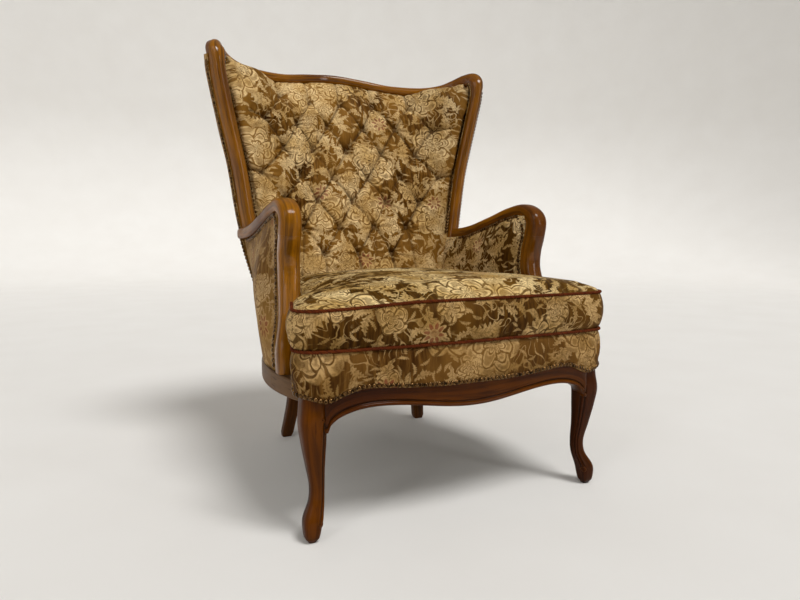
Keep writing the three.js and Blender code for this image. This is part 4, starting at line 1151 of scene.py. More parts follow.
def rail_ring(face, inwards):
    """Rounded oblong section of a rail behind a point on its outer face."""
    angles = np.linspace(0, 2 * np.pi, 36, endpoint=False)
    depth = RAIL_THICKNESS / 2 * (1 + squared(np.cos(angles), RAIL_SQUARENESS))
    z = RAIL_TOP - RAIL_HEIGHT + RAIL_HEIGHT / 2 * (1 + squared(np.sin(angles), RAIL_SQUARENESS))
    return np.array([(*(face + inwards * d), h) for d, h in zip(depth, z)])


def side_rail(word, side):
    rings = []
    for t in np.linspace(0, 1, 60):
        along = unit(side_rail_plan(min(1, t + 0.01)) - side_rail_plan(max(0, t - 0.01)))
        inwards = np.array([-along[1], along[0]])
        rings.append(rail_ring(side_rail_plan(t), inwards) * np.array([side, 1, 1]))
    piece = bar(f"seat_side_{word}", rings, rail_wood, 9.0 + side)
    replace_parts(piece, f"side_rail_{word}")


def back_rail():
    half = REAR_LEG_X - 6
    rings = []
    for x in np.linspace(-half, half, 50):
        face = np.array([x, float(back_y(x, RAIL_TOP))])
        rings.append(rail_ring(face, np.array([0, -1])))
    piece = bar("seat_back_rail", rings, rear_wood, 11.0)
    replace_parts(piece, "back_rail")


apron()
for word, side in SIDES:
    side_rail(word, side)
back_rail()


# Seat

CORNER_X = SEAT_SEAM_HALF - CORNER_RADIUS
CORNER_Y = seat_front_y(CORNER_X) + CORNER_RADIUS
SEAT_SLACK = 2.2
SEAT_EDGE_PULLS = 0.9
SPRING_POCKET = 32.5
BOXING_BANDS = 11
BOXING_FULLNESS = 11
BOXING_PUCKERS = 0.8
BOXING_HOLLOWS = 1.4


def seat_half_width(y):
    arc = CORNER_X + math.sqrt(max(0, CORNER_RADIUS ** 2 - (CORNER_Y - y) ** 2))
    if y < CORNER_Y:
        return arc
    between_arms = lerp(ARMS_INSIDE - 0.6, WING_FOOT[0] - WING_HALF_WIDTH, smoothstep(y, 60, SEAT_REAR))
    ear = np.interp(y, [CORNER_Y, SEAT_EAR_END], [SEAT_SEAM_HALF, SEAT_EAR_HALF])
    return lerp(ear, between_arms, smoothstep(y, SEAT_EAR_END, SEAT_NECK_END))


def upper_seam_z(x):
    """Height of the seat's upper seam, slumped towards its more used left corner."""
    return UPPER_WELT_Z - SEAT_SLUMP * smoothstep(-x, 90, 320)


def wall_verts(bm, cuts):
    """Cut the wall of a padded body into bands; returns the new vertices."""
    row_of, column_of = net_places(bm)
    upright = []
    for edge in bm.edges:
        a, b = edge.verts
        if a[row_of] == b[row_of] and a[column_of] == b[column_of]:
            upright.append(edge)
    made = bmesh.ops.subdivide_edges(bm, edges=upright, cuts=cuts, use_grid_fill=True)
    return [item for item in made["geom_inner"] if isinstance(item, bmesh.types.BMVert)]


def edge_distances(points):
    """Length round the edge of an array of points, counted from the middle of its first row."""
    rows, columns = points.shape[:2]
    first = lengths_along(points[0])
    first = first - first[columns // 2]
    round_edge = np.zeros((rows, columns))
    round_edge[0] = first
    round_edge[:, -1] = first[-1] + lengths_along(points[:, -1])
    round_edge[:, 0] = first[0] - lengths_along(points[:, 0])
    rear = lengths_along(points[-1])
    round_edge[-1, 1:-1] = round_edge[-1, -1] + rear[-1] - rear[1:-1]
    return round_edge


def seat_layout():
    """Points of the crowned seat top, and of its underside with the pocket for the springs."""
    columns, rows = 97, 105
    side = np.linspace(-1, 1, columns)[None, :]
    v = np.linspace(0, 1, rows)[:, None]
    straight = lerp(seat_front_y(CORNER_X), SEAT_REAR, v ** 1.4)
    x = side * np.array([seat_half_width(y) for y in straight[:, 0]])[:, None]
    y = straight + (seat_front_y(x) - seat_front_y(CORNER_X)) * (1 - v) ** 4
    across = (1 - side ** 2) ** 0.45
    along = np.sin(np.pi * (0.08 + 0.8 * v)) ** 0.55 * smoothstep(v, 0, 0.085) ** 0.55
    crown = SEAT_CROWN * across * along
    slack = SEAT_SLACK * ripple(x / 62, y / 75, 0.4) * across * smoothstep(v, 0.02, 0.2)
    pulls = SEAT_EDGE_PULLS * ripple(x / 11, y / 46, 1.9) * (1 - smoothstep(v, 0.02, 0.16)) * across
    top = np.stack([x, y, upper_seam_z(x) + crown + slack + pulls], axis=-1)
    pocket = 1 - smoothstep(np.abs(x), 207, 222)
    pocket *= smoothstep(y, -266, -252) * (1 - smoothstep(y, 182, 196))
    return top, np.stack([x, y, LOWER_WELT_Z + 0.3 + SPRING_POCKET * pocket], axis=-1)


def swell_boxing(bm, round_edge):
    """Cut the seat's side into bands and fill it out between its two seams, with small puckers."""
    row_of, column_of = net_places(bm)
    layer_of = bm.verts.layers.int["layer"]
    bm.normal_update()
    outwards = {}
    for vert in bm.verts:
        flat = Vector((vert.normal.x, vert.normal.y, 0))
        if flat.length > 0.3:
            outwards[(vert[row_of], vert[column_of])] = flat.normalized()
    for vert in wall_verts(bm, BOXING_BANDS):
        low, high = LOWER_WELT_Z * MM, float(upper_seam_z(vert.co.x / MM)) * MM
        share = min((vert.co.z - low) / (high - low), 1)
        where = round_edge[vert[row_of], vert[column_of]]
        full = BOXING_FULLNESS * math.sin(math.pi * max(share, 0)) ** 0.7
        pucker = BOXING_PUCKERS * ripple(where / 13, share * 3, 0.9)
        pucker += BOXING_HOLLOWS * ripple(where / 60, share * 2, 2.3)
        swell = (full + pucker * math.sin(math.pi * share)) * MM
        vert.co += outwards.get((vert[row_of], vert[column_of]), Vector()) * swell
        vert[layer_of] = WALL


def seat():
    top, under = seat_layout()
    bm = padded_body(top, under, cloth_uv(top))
    round_edge = edge_distances(top)
    swell_boxing(bm, round_edge)
    row_of, column_of = net_places(bm)
    layer = bm.loops.layers.uv["cloth"]
    for face in bm.faces:
        if len({(v[row_of], v[column_of]) for v in face.verts}) == 2:
            face.material_index = 1
            for loop in face.loops:
                where = round_edge[loop.vert[row_of], loop.vert[column_of]] * MM
                loop[layer].uv = (where, loop.vert.co.z)
    piece = finish_mesh("seat", bm, seat_velvet)
    piece.data.materials.append(boxing_velvet)
    settle(piece, slack=0.01, reach=6)
    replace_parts(piece, "seat_pad")


seat()


# Seat edge: border and cords

EDGE_RIGHT = [
    (SEAT_EAR_HALF, SEAT_EAR_END), ((SEAT_EAR_HALF + SEAT_SEAM_HALF) / 2, (SEAT_EAR_END + CORNER_Y) / 2),
    *[(CORNER_X + CORNER_RADIUS * math.cos(a), CORNER_Y - CORNER_RADIUS * math.sin(a))
      for a in np.linspace(0, np.pi / 2, 5)],
    *[(share * CORNER_X, seat_front_y(share * CORNER_X)) for share in (0.66, 0.33)],
]
EDGE = np.array([(x, y, 0) for x, y in [
    *EDGE_RIGHT, (0, -SEAT_FRONT), *[(-x, y) for x, y in reversed(EDGE_RIGHT)],
]])
BORDER_HEM = np.array([
    (0, 267), (60, 267), (120, 269), (170, 273), (208, 276), (235, 274), (262, 264), (284, 253.5),
    (296, 253.5), (316, 261), (340, 266), (345, 266),
])
BORDER_FULLNESS = 7
BORDER_PUCKERS = 0.9
BORDER_DEPTH = 10


def edge_frame(t):
    """A point on the seat's edge in plan and the direction outwards from it."""
    tangent = curve_tangent(EDGE, t)
    return curve_point(EDGE, t), unit(np.cross(tangent, -UP))


def border_hem(edge):
    """Height of the border's lower edge: over the apron and leg, then up on to the side rail."""
    x, y = edge[:2]
    sharp = [np.interp(abs(x) + d, BORDER_HEM[:, 0], BORDER_HEM[:, 1]) for d in (-8, -4, 0, 4, 8)]
    return lerp(float(np.mean(sharp)), RAIL_TOP + 1.5, smoothstep(y, CORNER_Y - 6, CORNER_Y + 22))


def border_point(t, w, proud):
    """A point on the border: w from its hem to the lower cord, proud of the seat's edge."""
    edge, outwards = edge_frame(t)
    full = BORDER_FULLNESS * math.sin(math.pi * min(1, 0.06 + 0.94 * w)) ** 0.8
    point = edge + outwards * (proud - BORDER_INSET + full)
    point[2] = lerp(border_hem(edge), LOWER_WELT_Z - 0.3, w)
    return point


def border():
    t = np.linspace(0, 1, 181)
    w = np.linspace(0, 1, 17)
    front = np.array([[border_point(a, b, 0) for a in t] for b in w])
    round_it = lengths_along(front[len(w) // 2])[None, :]
    up = w[:, None]
    front[..., 1] -= BORDER_PUCKERS * ripple(round_it / 15, up * 2.5, 3.3) * np.sin(np.pi * up)
    inner = np.array([[border_point(a, b, -BORDER_DEPTH) for a in t] for b in w])
    piece = cover("border", front, inner, border_velvet)
    settle(piece, slack=0.012, reach=5, hem=2)
    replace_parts(piece, "seat_border")


border()

CORD_STRANDS = 3
STRAND_RADIUS = 1.75
STRAND_GIRTH = 0.011
STRAND_POINTS = 8
STRAND_OFFSET = 1.6
CORD_LAY = 15
CORD_PROUD = 1.8
CORD_WANDER = 1.5


def twisted_cord(name, seam_z, node):
    """Three strands laid round each other along the seat's edge."""
    stations = [edge_frame(t) for t in np.linspace(0, 1, 900)]
    middle = np.array([p + o * CORD_PROUD for p, o in stations])
    middle[:, 2] = seam_z(middle[:, 0]) + CORD_WANDER * ripple(lengths_along(middle) / 55, 1.0, 0.6)
    out = np.array([o for _, o in stations])
    along = lengths_along(middle)
    girth = np.linspace(0, STRAND_GIRTH, STRAND_POINTS + 1)
    whole = bmesh.new()
    whole.loops.layers.uv.new("cloth")
    for strand in range(CORD_STRANDS):
        turn = 2 * np.pi * (along / CORD_LAY + strand / CORD_STRANDS)
        core = middle + STRAND_OFFSET * (out * np.cos(turn)[:, None] + UP * np.sin(turn)[:, None])
        rings = [round_ring(point, way, UP, STRAND_RADIUS, STRAND_POINTS) for point, way in zip(core, out)]
        points = np.array([np.vstack([ring, ring[:1]]) for ring in rings])
        uv = np.stack(np.broadcast_arrays(girth[None, :] + strand, along[:, None] * MM), axis=-1)
        bm = net(place(points), uv)
        close_tube(bm)
        step = bpy.data.meshes.new("strand")
        bm.to_mesh(step)
        bm.free()
        whole.from_mesh(step)
        bpy.data.meshes.remove(step)
    piece = finish_mesh(name, whole, rust_cord)
    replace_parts(piece, node)


twisted_cord("lower_cord", lambda x: np.full(len(x), LOWER_WELT_Z), "lower_welt")
twisted_cord("upper_cord", upper_seam_z, "upper_welt")


# Buttoned back

BACK_FOOT = 392
STUFFING_RAIL_Z = 405
STRAP_FOOT_Y = float(stile_y(STUFFING_RAIL_Z)) - 12.3
STRAP_BEND_Z = 425
STRAP_IN_FRONT = 5.7
PAD_THICKNESS = 44
PAD_EDGE = 3
PAD_DEPTH = 25
BUTTON_LEVEL = 12
BUTTON_TOP_ROW = 915
BUTTON_ROW_DROP = 69.5
BUTTON_DEPTH = 7
PLEAT_REACH = 78
PLEAT_DEPTH = 3.4
PILLOW_HEIGHT = 18
PILLOW_REACH = 34
PILLOW_SINK = 8
GATHERS = 2.7
PULLED_FOLDS = 1.9
EAR_FULLNESS = 17
ARM_MEETS_WING_Z = 552
NAIL_MARGIN = 9
HEM_PROUD = 1.6
# Painted shade over the right wing.
PAINTED_WING_SHADE = 0.3


def back_strap_y(x, z):
    out = np.minimum(np.abs(x), CREST_JOINT_X)
    top = crest_z(out)
    share = np.maximum(0, (z - STRAP_BEND_Z) / (top - CREST_HALF_HEIGHT - STRAP_BEND_Z))
    return lerp(STRAP_FOOT_Y, crest_y(out, top) - 9.2, share)


def loop_inside(t):
    """Where the cover meets the show wood: its inner side, but lapped on to the face of each ear's foot."""
    centre, outwards, front, half, depth = loop_frame(t)
    step = min(t, 1 - t) * (len(LOOP) - 1)
    lapped = float(smoothstep(step, 9.5, 10.6) * (1 - smoothstep(step, 12.6, 13.8)))
    inwards = lerp(0.94 * half + 0.2, 0.45 * half, lapped)
    ahead = depth * lerp(0.5, 0.97, lapped)
    return centre - outwards * inwards + front * ahead


def evenly(points, count):
    """Places at equal distances along a line of points."""
    along = lengths_along(points)
    return sampled(np.linspace(0, along[-1], count), along, points)


def back_layout(columns, rows):
    """The back's surface at button level, between the wings, the crest and the seat."""
    side_edge = np.array([loop_inside(t) for t in np.linspace(0.03, EAR_CORNER, 90)])
    top_edge = np.array([loop_inside(t) for t in np.linspace(EAR_CORNER, 1 - EAR_CORNER, 320)])[::-1]
    u = np.linspace(0, 1, columns)[None, :, None]
    w = np.linspace(0, 1, rows)[:, None, None]
    right = sampled(lerp(BACK_FOOT, side_edge[-1, 2], w.ravel()), side_edge[:, 2], side_edge)
    left = mirrored(right)
    top = evenly(top_edge, columns)
    foot = lerp(left[0], right[0], u)
    foot[..., 2] = BACK_FOOT
    ruled = lerp(left[:, None], right[:, None], u)
    risen = lerp(foot, top[None], w)
    corners = lerp(lerp(left[0], right[0], u), lerp(left[-1], right[-1], u), w)
    base = ruled + risen - corners
    x, z = base[..., 0], base[..., 2]
    side = np.minimum(1, np.abs(x) / right[:, :1])
    middle = back_strap_y(x, z) - STRAP_IN_FRONT - PAD_THICKNESS + BUTTON_LEVEL
    curved = lerp(middle, wing_y(z), side ** 2.2)
    blend = np.maximum(smoothstep(w[..., 0], 0.84, 1), smoothstep(side, 0.93, 1))
    base[..., 1] = lerp(curved, base[..., 1], blend)
    return base


def forward_normals(points):
    normal = np.cross(np.gradient(points, axis=1), np.gradient(points, axis=0))
    return normal / np.linalg.norm(normal, axis=2, keepdims=True)


def button_places():
    """Button rows as distance round the back and height, with the small errors of hand work."""
    chance = np.random.default_rng(7)
    rows = []
    wide, narrow = (-200, -100, 0, 100, 200), (-260, -150, -50, 50, 150, 260)
    for k, offsets in enumerate([wide, narrow, wide, narrow, wide, (-150, -50, 50, 150), (-100, 0, 100)]):
        z = BUTTON_TOP_ROW - BUTTON_ROW_DROP * k
        rows.append([(s + chance.uniform(-5, 5), z + chance.uniform(-4, 4)) for s in offsets])
    return rows


def pleat_lines(rows, s_edge):
    """Folds between neighbouring buttons, and straight pleats out to the wood and down to the seat."""
    lines = []
    for upper, lower in zip(rows, rows[1:]):
        lines += [(a, b) for a in upper for b in lower if abs(a[0] - b[0]) < PLEAT_REACH]
    lines += [(a, (a[0] * 1.06, a[1] + 90)) for a in rows[0]]
    lines += [(b, (b[0], b[1] - 120)) for b in rows[-1]]
    for row in rows[1:5]:
        for a in (row[0], row[-1]):
            if abs(a[0]) > 230:
                lines.append((a, (math.copysign(s_edge, a[0]), a[1] + 8)))
    lines += [(a, (a[0] * 1.12, a[1] - 150)) for a in (rows[5][0], rows[5][-1])]
    return lines


def distance_to_line(s, z, line):
    (s1, z1), (s2, z2) = line
    run, rise = s2 - s1, z2 - z1
    t = np.clip(((s - s1) * run + (z - z1) * rise) / (run ** 2 + rise ** 2), 0, 1)
    return np.hypot(s - s1 - t * run, z - z1 - t * rise)


def pillow_heights(s, z, rows, lines):
    """Height of the stuffing between the pleats, in front of the level of the buttons."""
    to_pleat = np.min([distance_to_line(s, z, line) for line in lines], axis=0)
    buttons = np.array([button for row in rows for button in row])
    gaps = np.array([np.hypot(s - button_s, z - button_z) for button_s, button_z in buttons])
    nearest = np.argmin(gaps, axis=0)
    to_button = gaps.min(axis=0)
    angle = np.arctan2(z - buttons[nearest, 1], s - buttons[nearest, 0])
    dome = np.sin(np.pi / 2 * np.clip(to_pleat / PILLOW_REACH, 0, 1)) ** 0.62
    tight = 0.55 + 0.45 * smoothstep(ripple(s / 46, z / 38, 8.3), -0.45, 0.35)
    uneven = ripple(s / 37, z / 41, 6.2)
    floor = 0.34 + (0.38 + 0.14 * uneven) * smoothstep(to_button, 4, 42)
    height = PILLOW_HEIGHT * (floor + (1 - floor) * dome)
    height -= BUTTON_DEPTH * np.exp(-(to_button / 11) ** 2)
    height -= PLEAT_DEPTH * tight * np.exp(-(to_pleat / 2.8) ** 2)
    gathers = np.cos(9 * angle + 2.1 * nearest) + 0.7 * np.cos(14 * angle + nearest)
    height += GATHERS * gathers * np.exp(-to_button / 32) * smoothstep(to_button, 4, 14)
    pulls = ripple(s / 3.2 + 0.3 * np.sin(z / 15), z / 60, 0.7)
    pulls *= smoothstep(ripple(s / 60, z / 70, 5.1), -0.1, 0.4)
    pulls += 0.6 * ripple(s / 9, z / 14, 3.8)
    # How deep each point lies in a pleat or button pit, for the painted shade there.
    fold = np.maximum(tight * np.exp(-(to_pleat / 2.4) ** 2), np.exp(-(to_button / 10) ** 2))
    return height + PULLED_FOLDS * pulls, fold


def back():
    """The buttoned pad; returns the places of its buttons, and its right hem with the way that faces."""
    columns, rows = 271, 251
    base = back_layout(columns, rows)
    middle = columns // 2
    steps = np.linalg.norm(np.diff(base, axis=1), axis=2)
    s = np.concatenate([np.zeros((rows, 1)), np.cumsum(steps, axis=1)], axis=1)
    s -= s[:, middle:middle + 1]
    z = base[..., 2]
    button_rows = button_places()
    lines = pleat_lines(button_rows, float(s[rows // 2, -1]))
    height, fold = pillow_heights(s, z, button_rows, lines)
    to_side = np.minimum(s - s[:, :1], s[:, -1:] - s)
    to_top = np.linalg.norm(base - base[-1:], axis=2)
    to_edge = np.minimum(to_side, to_top)
    height += EAR_FULLNESS * smoothstep(z, 885, 945) * smoothstep(np.abs(s), 215, 290)
    roll = np.minimum(smoothstep(to_side, NAIL_MARGIN, 44) ** 0.8, rounded_rise(to_top, 26))
    facing = forward_normals(base)
    front = base + facing * (roll * (height - PILLOW_SINK))[..., None]
    rear = base - facing * (PAD_EDGE + PAD_DEPTH * smoothstep(to_edge, 0, 70))[..., None]
    up = lengths_along(base[:, middle])
    uv = np.stack(np.broadcast_arrays(s * MM, up[:, None] * MM), axis=-1)
    bm = padded_body(front, rear, uv)
    # Painted shade in the pleats and button pits, and painted shade over the right wing.
    mark_folds(bm, np.maximum(fold, PAINTED_WING_SHADE * smoothstep(s, 190, 270)))
    piece = finish_mesh("buttoned_back", bm, back_velvet)
    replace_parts(piece, "back_pad")
    seats = []
    for row in button_rows:
        for button in row:
            spot = np.unravel_index(np.argmin(np.hypot(s - button[0], z - button[1])), s.shape)
            seats.append((front[spot], facing[spot]))
    margin = base[:, -5] - base[:, -1]
    margin = margin / np.linalg.norm(margin, axis=1, keepdims=True)
    hem = base[:, -1] + NAIL_MARGIN / 2 * margin + HEM_PROUD * facing[:, -4]
    shown = z[:, -1] > ARM_MEETS_WING_Z
    return seats, hem[shown], facing[shown, -4]


button_seats, wing_hem, wing_hem_facing = back()


# Arm covers

POST_HEAD_Z = 560
ARM_LAP = 4
POST_LAP = 6
INSIDE_ARM_FOOT = 330
INSIDE_ARM_SWELL = 13
OUTSIDE_ARM_SWEEP = 22
OUTSIDE_ARM_WAVES = 1.6
PULLED_HEM = 0.7


def post_back_y(z):
    """Rear face of the arm post at a height."""
    return arm_post_place(np.minimum(z, POST_HEAD_Z))[1] + ARM_POST_HALF_DEPTH


def panel_grid(columns, rows, foot, head, front_y, rear_y):
    """y and z of a side panel under the arm rail: rows upwards, columns from the post to the back."""
    y = np.zeros((rows, columns))
    z = np.zeros((rows, columns))
    for i, w in enumerate(np.linspace(0, 1, rows)):
        for j, u in enumerate(np.linspace(0, 1, columns)):
            guess = lerp(foot, POST_HEAD_Z, w)
            for _ in range(3):
                y[i, j] = lerp(front_y(guess), rear_y(guess), u)
                guess = lerp(foot, head(y[i, j]), w)
            z[i, j] = guess
    return y, z


def inside_arm_head(y):
    return arm_underside(y) + ARM_LAP


def inside_arm_front(z):
    return post_back_y(z) - POST_LAP


def inside_arm(word, side):
    y, z = panel_grid(61, 45, INSIDE_ARM_FOOT, inside_arm_head, inside_arm_front, lambda z: wing_y(z) + 1)
    edge_x = arm_rail_x(y) - ARM_HALF_WIDTH - 0.5
    to_top = inside_arm_head(y) - z
    to_front = y - inside_arm_front(z)
    rise = rounded_rise(to_top - NAIL_MARGIN, 30) * rounded_rise(to_front - NAIL_MARGIN, 28)
    wrinkle = 0.8 * ripple(y / 9, z / 40, 1.1) * (1 - smoothstep(to_top, 0, 60)) * rounded_rise(to_top, 20)
    x = np.maximum(edge_x - INSIDE_ARM_SWELL * rise + wrinkle, ARMS_INSIDE - 1.5)
    over_post = np.minimum(x, wing_x(z) - WING_HALF_WIDTH - 2.5)
    x = lerp(x, over_post, smoothstep(y, wing_y(z) - 90, wing_y(z) - 20))
    scale = np.array([side, 1, 1])
    face = np.stack([x, y, z], axis=-1) * scale
    behind = np.stack([np.minimum(x + 14, edge_x + 8), y, z], axis=-1) * scale
    piece = cover(f"arm_inside_{word}", face, behind, arm_velvet)
    settle(piece, slack=0.012, reach=5, hem=2)
    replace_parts(piece, f"inside_arm_{word}")


def outside_arm_head(y):
    return arm_underside(y) - 0.3


def outside_arm_front(z):
    return post_back_y(z) + 0.4


def outside_arm_rear(z):
    return lerp(232, 283, min(1, max(0, (z - RAIL_TOP) / 250))) - 3


def outside_arm_x(y, z):
    share = np.clip((z - RAIL_TOP) / (arm_underside(y) - RAIL_TOP), 0, 1)
    swept = lerp(side_rail_x(y) - 3, ARM_X + ARM_HALF_WIDTH - 5, share)
    swept = swept + OUTSIDE_ARM_SWEEP * np.sin(np.pi * share)
    past_wing = wing_x(z) + WING_HALF_WIDTH + 5.6
    near = smoothstep(y, wing_y(z) - WING_HALF_DEPTH - 60, wing_y(z) - WING_HALF_DEPTH)
    swept = lerp(swept, np.maximum(swept, past_wing), near)
    post_x, _, post_half = arm_post_place(np.minimum(z, POST_HEAD_Z))
    flush = post_x + post_half - 2.5
    return lerp(flush, swept, smoothstep(y - outside_arm_front(z), 0, 110))


def outside_arm(word, side):
    rows = 41
    y, z = panel_grid(71, rows, RAIL_TOP + 0.3, outside_arm_head, outside_arm_front, outside_arm_rear)
    share = np.linspace(0, 1, rows)[:, None]
    x = outside_arm_x(y, z) + OUTSIDE_ARM_WAVES * ripple(y / 34, z / 70, 2.7) * np.sin(np.pi * share)
    near_top = smoothstep(share, 0.5, 1) * (1 - smoothstep(share, 0.93, 1))
    x += PULLED_HEM * ripple(y / 7, z / 55, 4.4) * near_top
    scale = np.array([side, 1, 1])
    face = np.stack([x, y, z], axis=-1)
    behind = face - np.array([COVER_THICKNESS, 0, 0])
    piece = cover(f"arm_outside_{word}", face * scale, behind * scale, outside_velvet)
    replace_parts(piece, f"outside_arm_{word}")


for word, side in SIDES:
    inside_arm(word, side)
    outside_arm(word, side)


# Outside back

WRAP_DEPTH = 14
WRAP_STEPS = (-3.5, 0, 0.45 * WRAP_DEPTH, WRAP_DEPTH)
BACK_COVER_THICKNESS = 2.4
WING_T_BY_HEIGHT = np.array([(curve_point(LOOP, t)[2], t) for t in np.linspace(0, EAR_CORNER, 120)])


def wing_outside(z, ahead, proud):
    """A point on the outer face of the right wing post, ahead of its rear face, and the way out of it."""
    t = np.interp(z, WING_T_BY_HEIGHT[:, 0], WING_T_BY_HEIGHT[:, 1])
    centre, outwards, front, half, depth = loop_frame(t)
    return centre + outwards * (half + proud) + front * (ahead - depth), outwards


def wrap_proud(z):
    """How far the turned-over edge lies off the wing post: it laps over the outside arm below."""
    return 2.6 + 4.6 * (1 - smoothstep(z, 535, 560))


def back_top_hem(t):
    """Where the outside cover ends on the rear of the ears and the crest."""
    centre, outwards, front, half, depth = loop_frame(t)
    step = min(t, 1 - t) * (len(LOOP) - 1)
    out = lerp(8, 3 - half, smoothstep(step, EAR_STEP - 1, EAR_STEP + 1))
    return centre + outwards * out - front * (depth + 2.5)


def outside_back():
    columns, rows = 71, 65
    side = np.linspace(-1, 1, columns)
    front = np.zeros((rows, columns + 2 * len(WRAP_STEPS), 3))
    first = (EAR_STEP - 1) / (len(LOOP) - 1)
    top_hem = evenly(np.array([back_top_hem(t) for t in np.linspace(1 - first, first, 320)]), columns)
    for i, w in enumerate(np.linspace(0, 1, rows)):
        z_side = lerp(RAIL_TOP + 0.3, EAR_TOP - 40, w)
        hem = back_half_width(z_side) - 2
        x = lerp(side * hem, top_hem[:, 0], w ** 3)
        z = lerp(RAIL_TOP + 0.3, top_hem[:, 2], w)
        z = lerp(z, z_side, np.abs(side) ** 8)
        flare = 1.8 * ripple(x / 80, z / 95, 1.2) * (1 - np.abs(side) ** 4)
        y = lerp(back_y(x, z) + COVER_THICKNESS + flare, top_hem[:, 1], smoothstep(w, 0.82, 1))
        wrap = []
        for ahead in WRAP_STEPS:
            point, _ = wing_outside(z_side, ahead, wrap_proud(z_side) - (1.4 if ahead < 0 else 0))
            wrap.append((point[0], point[1], z_side))
        front[i] = np.vstack([mirrored(wrap[::-1]), np.stack([x, y, z], axis=1), wrap])
    behind = front + forward_normals(front) * BACK_COVER_THICKNESS
    piece = cover("back_outside", front, behind, outside_velvet)
    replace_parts(piece, "outside_back")


outside_back()


# Springing and underside

SPRING_TURNS = 3
SPRING_WAIST = 22
SPRING_END = 31
SPRING_WIRE = 1.8
SPRING_SHEET_HALF = 204.5
SPRING_SHEET_FRONT = -249.5
SPRING_SHEET_REAR = 179.5
SPRING_SHEET_TOP = 377.4


def coil_spring(number, x, y):
    rings = []
    for t in np.linspace(0, 1, 110):
        angle = 2 * np.pi * SPRING_TURNS * t
        radius = lerp(SPRING_WAIST, SPRING_END, (2 * t - 1) ** 2)
        out = np.array([math.cos(angle), math.sin(angle), 0])
        z = SPRING_FOOT + lerp(SPRING_WIRE, SPRING_HEIGHT - SPRING_WIRE, t)
        rings.append(round_ring(np.array([x, y, z]) + out * radius, out, UP, SPRING_WIRE, 8))
    piece = bar(f"coil_{number}", rings, spring_steel)
    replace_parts(piece, f"seat_spring_{number}")


number = 0
for row in range(3):
    for column in (-1, 0, 1):
        number += 1
        coil_spring(number, column * STRAP_SPACING, FIRST_SPRING_Y + row * SPRING_ROW)


def spring_canvas_sheet():
    x, y = np.meshgrid(
        np.linspace(-SPRING_SHEET_HALF, SPRING_SHEET_HALF, 61),
        np.linspace(SPRING_SHEET_FRONT, SPRING_SHEET_REAR, 61),
    )
    top = np.stack([x, y, np.full(x.shape, SPRING_SHEET_TOP)], axis=-1)
    piece = cover("spring_sheet", top, top - 1.8 * UP, spring_canvas)
    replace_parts(piece, "spring_hessian")


def dust_sheet_half_width(y):
    """Half width between the side rails, notched in front and behind for the legs."""
    half = float(side_rail_x(y)) - RAIL_THICKNESS / 2
    half = lerp(min(half, FRONT_LEG_X - 42), half, smoothstep(y, -262, -250))
    beside_leg = REAR_LEG_X - REAR_LEG_HALF - 4
    return lerp(half, beside_leg, smoothstep(y, REAR_LEG_Y - 34, REAR_LEG_Y - 22))


def dust_sheet():
    """Black cotton tacked under the rails."""
    rows, columns = 61, 41
    top = np.zeros((rows, columns, 3))
    for i, v in enumerate(np.linspace(0, 1, rows)):
        half = dust_sheet_half_width(lerp(-275, REAR_LEG_Y + 8, v))
        for j, share in enumerate(np.linspace(-1, 1, columns)):
            x = share * half
            front = seat_front_y(x) + FRONT_RAIL_INSET + RAIL_THICKNESS + 0.3
            rear = float(back_y(x, RAIL_TOP)) - RAIL_THICKNESS / 2
            top[i, j] = (x, lerp(front, rear, v), RAIL_TOP - RAIL_HEIGHT - 0.4)
    piece = cover("dust_sheet", top, top - 1.2 * UP, black_cotton)
    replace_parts(piece, "dust_cover")


spring_canvas_sheet()
dust_sheet()


def dress(node, material):
    """Give a frame piece that stays as it is its own finish."""
    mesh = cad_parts[node].data
    mesh.materials.clear()
    mesh.materials.append(material)


for number in range(1, 6):
    dress(f"length_strap_{number}", jute_webbing)
for number in range(1, 5):
    dress(f"cross_strap_{number}", jute_webbing)
    dress(f"back_strap_{number}", jute_webbing)
dress("stuffing_rail", bare_wood)
for word, _ in SIDES:
    for end in ("front", "rear"):
        dress(f"{end}_corner_block_{word}", bare_wood)
        dress(f"{end}_block_screw_{word}", spring_steel)


# Nails and buttons

NAIL_PITCH = 9.6
BORDER_NAIL_PITCH = 9.0
NAIL_RADIUS = 4.9
NAIL_RISE = 3.6
NAIL_PROUD = 1.0
NAIL_FROM_EDGE = 5
ARM_NAILS_REAR = 215
ARM_NAILS_FRONT = -84
BUTTON_RADIUS = 8.0
BUTTON_RISE = 4.5


def dome_template(radius, rise, around, over):
    """Half a flattened ball, flat side down at the origin."""
    bm = bmesh.new()
    bmesh.ops.create_uvsphere(bm, u_segments=around, v_segments=2 * over, radius=1)
    geometry = bm.verts[:] + bm.edges[:] + bm.faces[:]
    bmesh.ops.bisect_plane(bm, geom=geometry, plane_co=(0, 0, 0), plane_no=(0, 0, -1), clear_outer=True)
    bmesh.ops.holes_fill(bm, edges=[e for e in bm.edges if e.is_boundary], sides=0)
    bmesh.ops.scale(bm, vec=(radius * MM, radius * MM, rise * MM), verts=bm.verts)
    bmesh.ops.recalc_face_normals(bm, faces=bm.faces)
    mesh = bpy.data.meshes.new("template")
    bm.to_mesh(mesh)
    bm.free()
    return mesh


def studs(name, seats, template, material):
    """Copies of a template set on places, each a point in drawn millimetres and a direction."""
    whole = bmesh.new()
    up = Vector((0, 0, 1))
    for point, facing in seats:
        start = len(whole.verts)
        whole.from_mesh(template)
        whole.verts.ensure_lookup_table()
        turn = up.rotation_difference(Vector(facing)).to_matrix().to_4x4()
        matrix = Matrix.Translation(Vector(place(point))) @ turn
        bmesh.ops.transform(whole, matrix=matrix, verts=whole.verts[start:])
    return finish_mesh(name, whole, material)


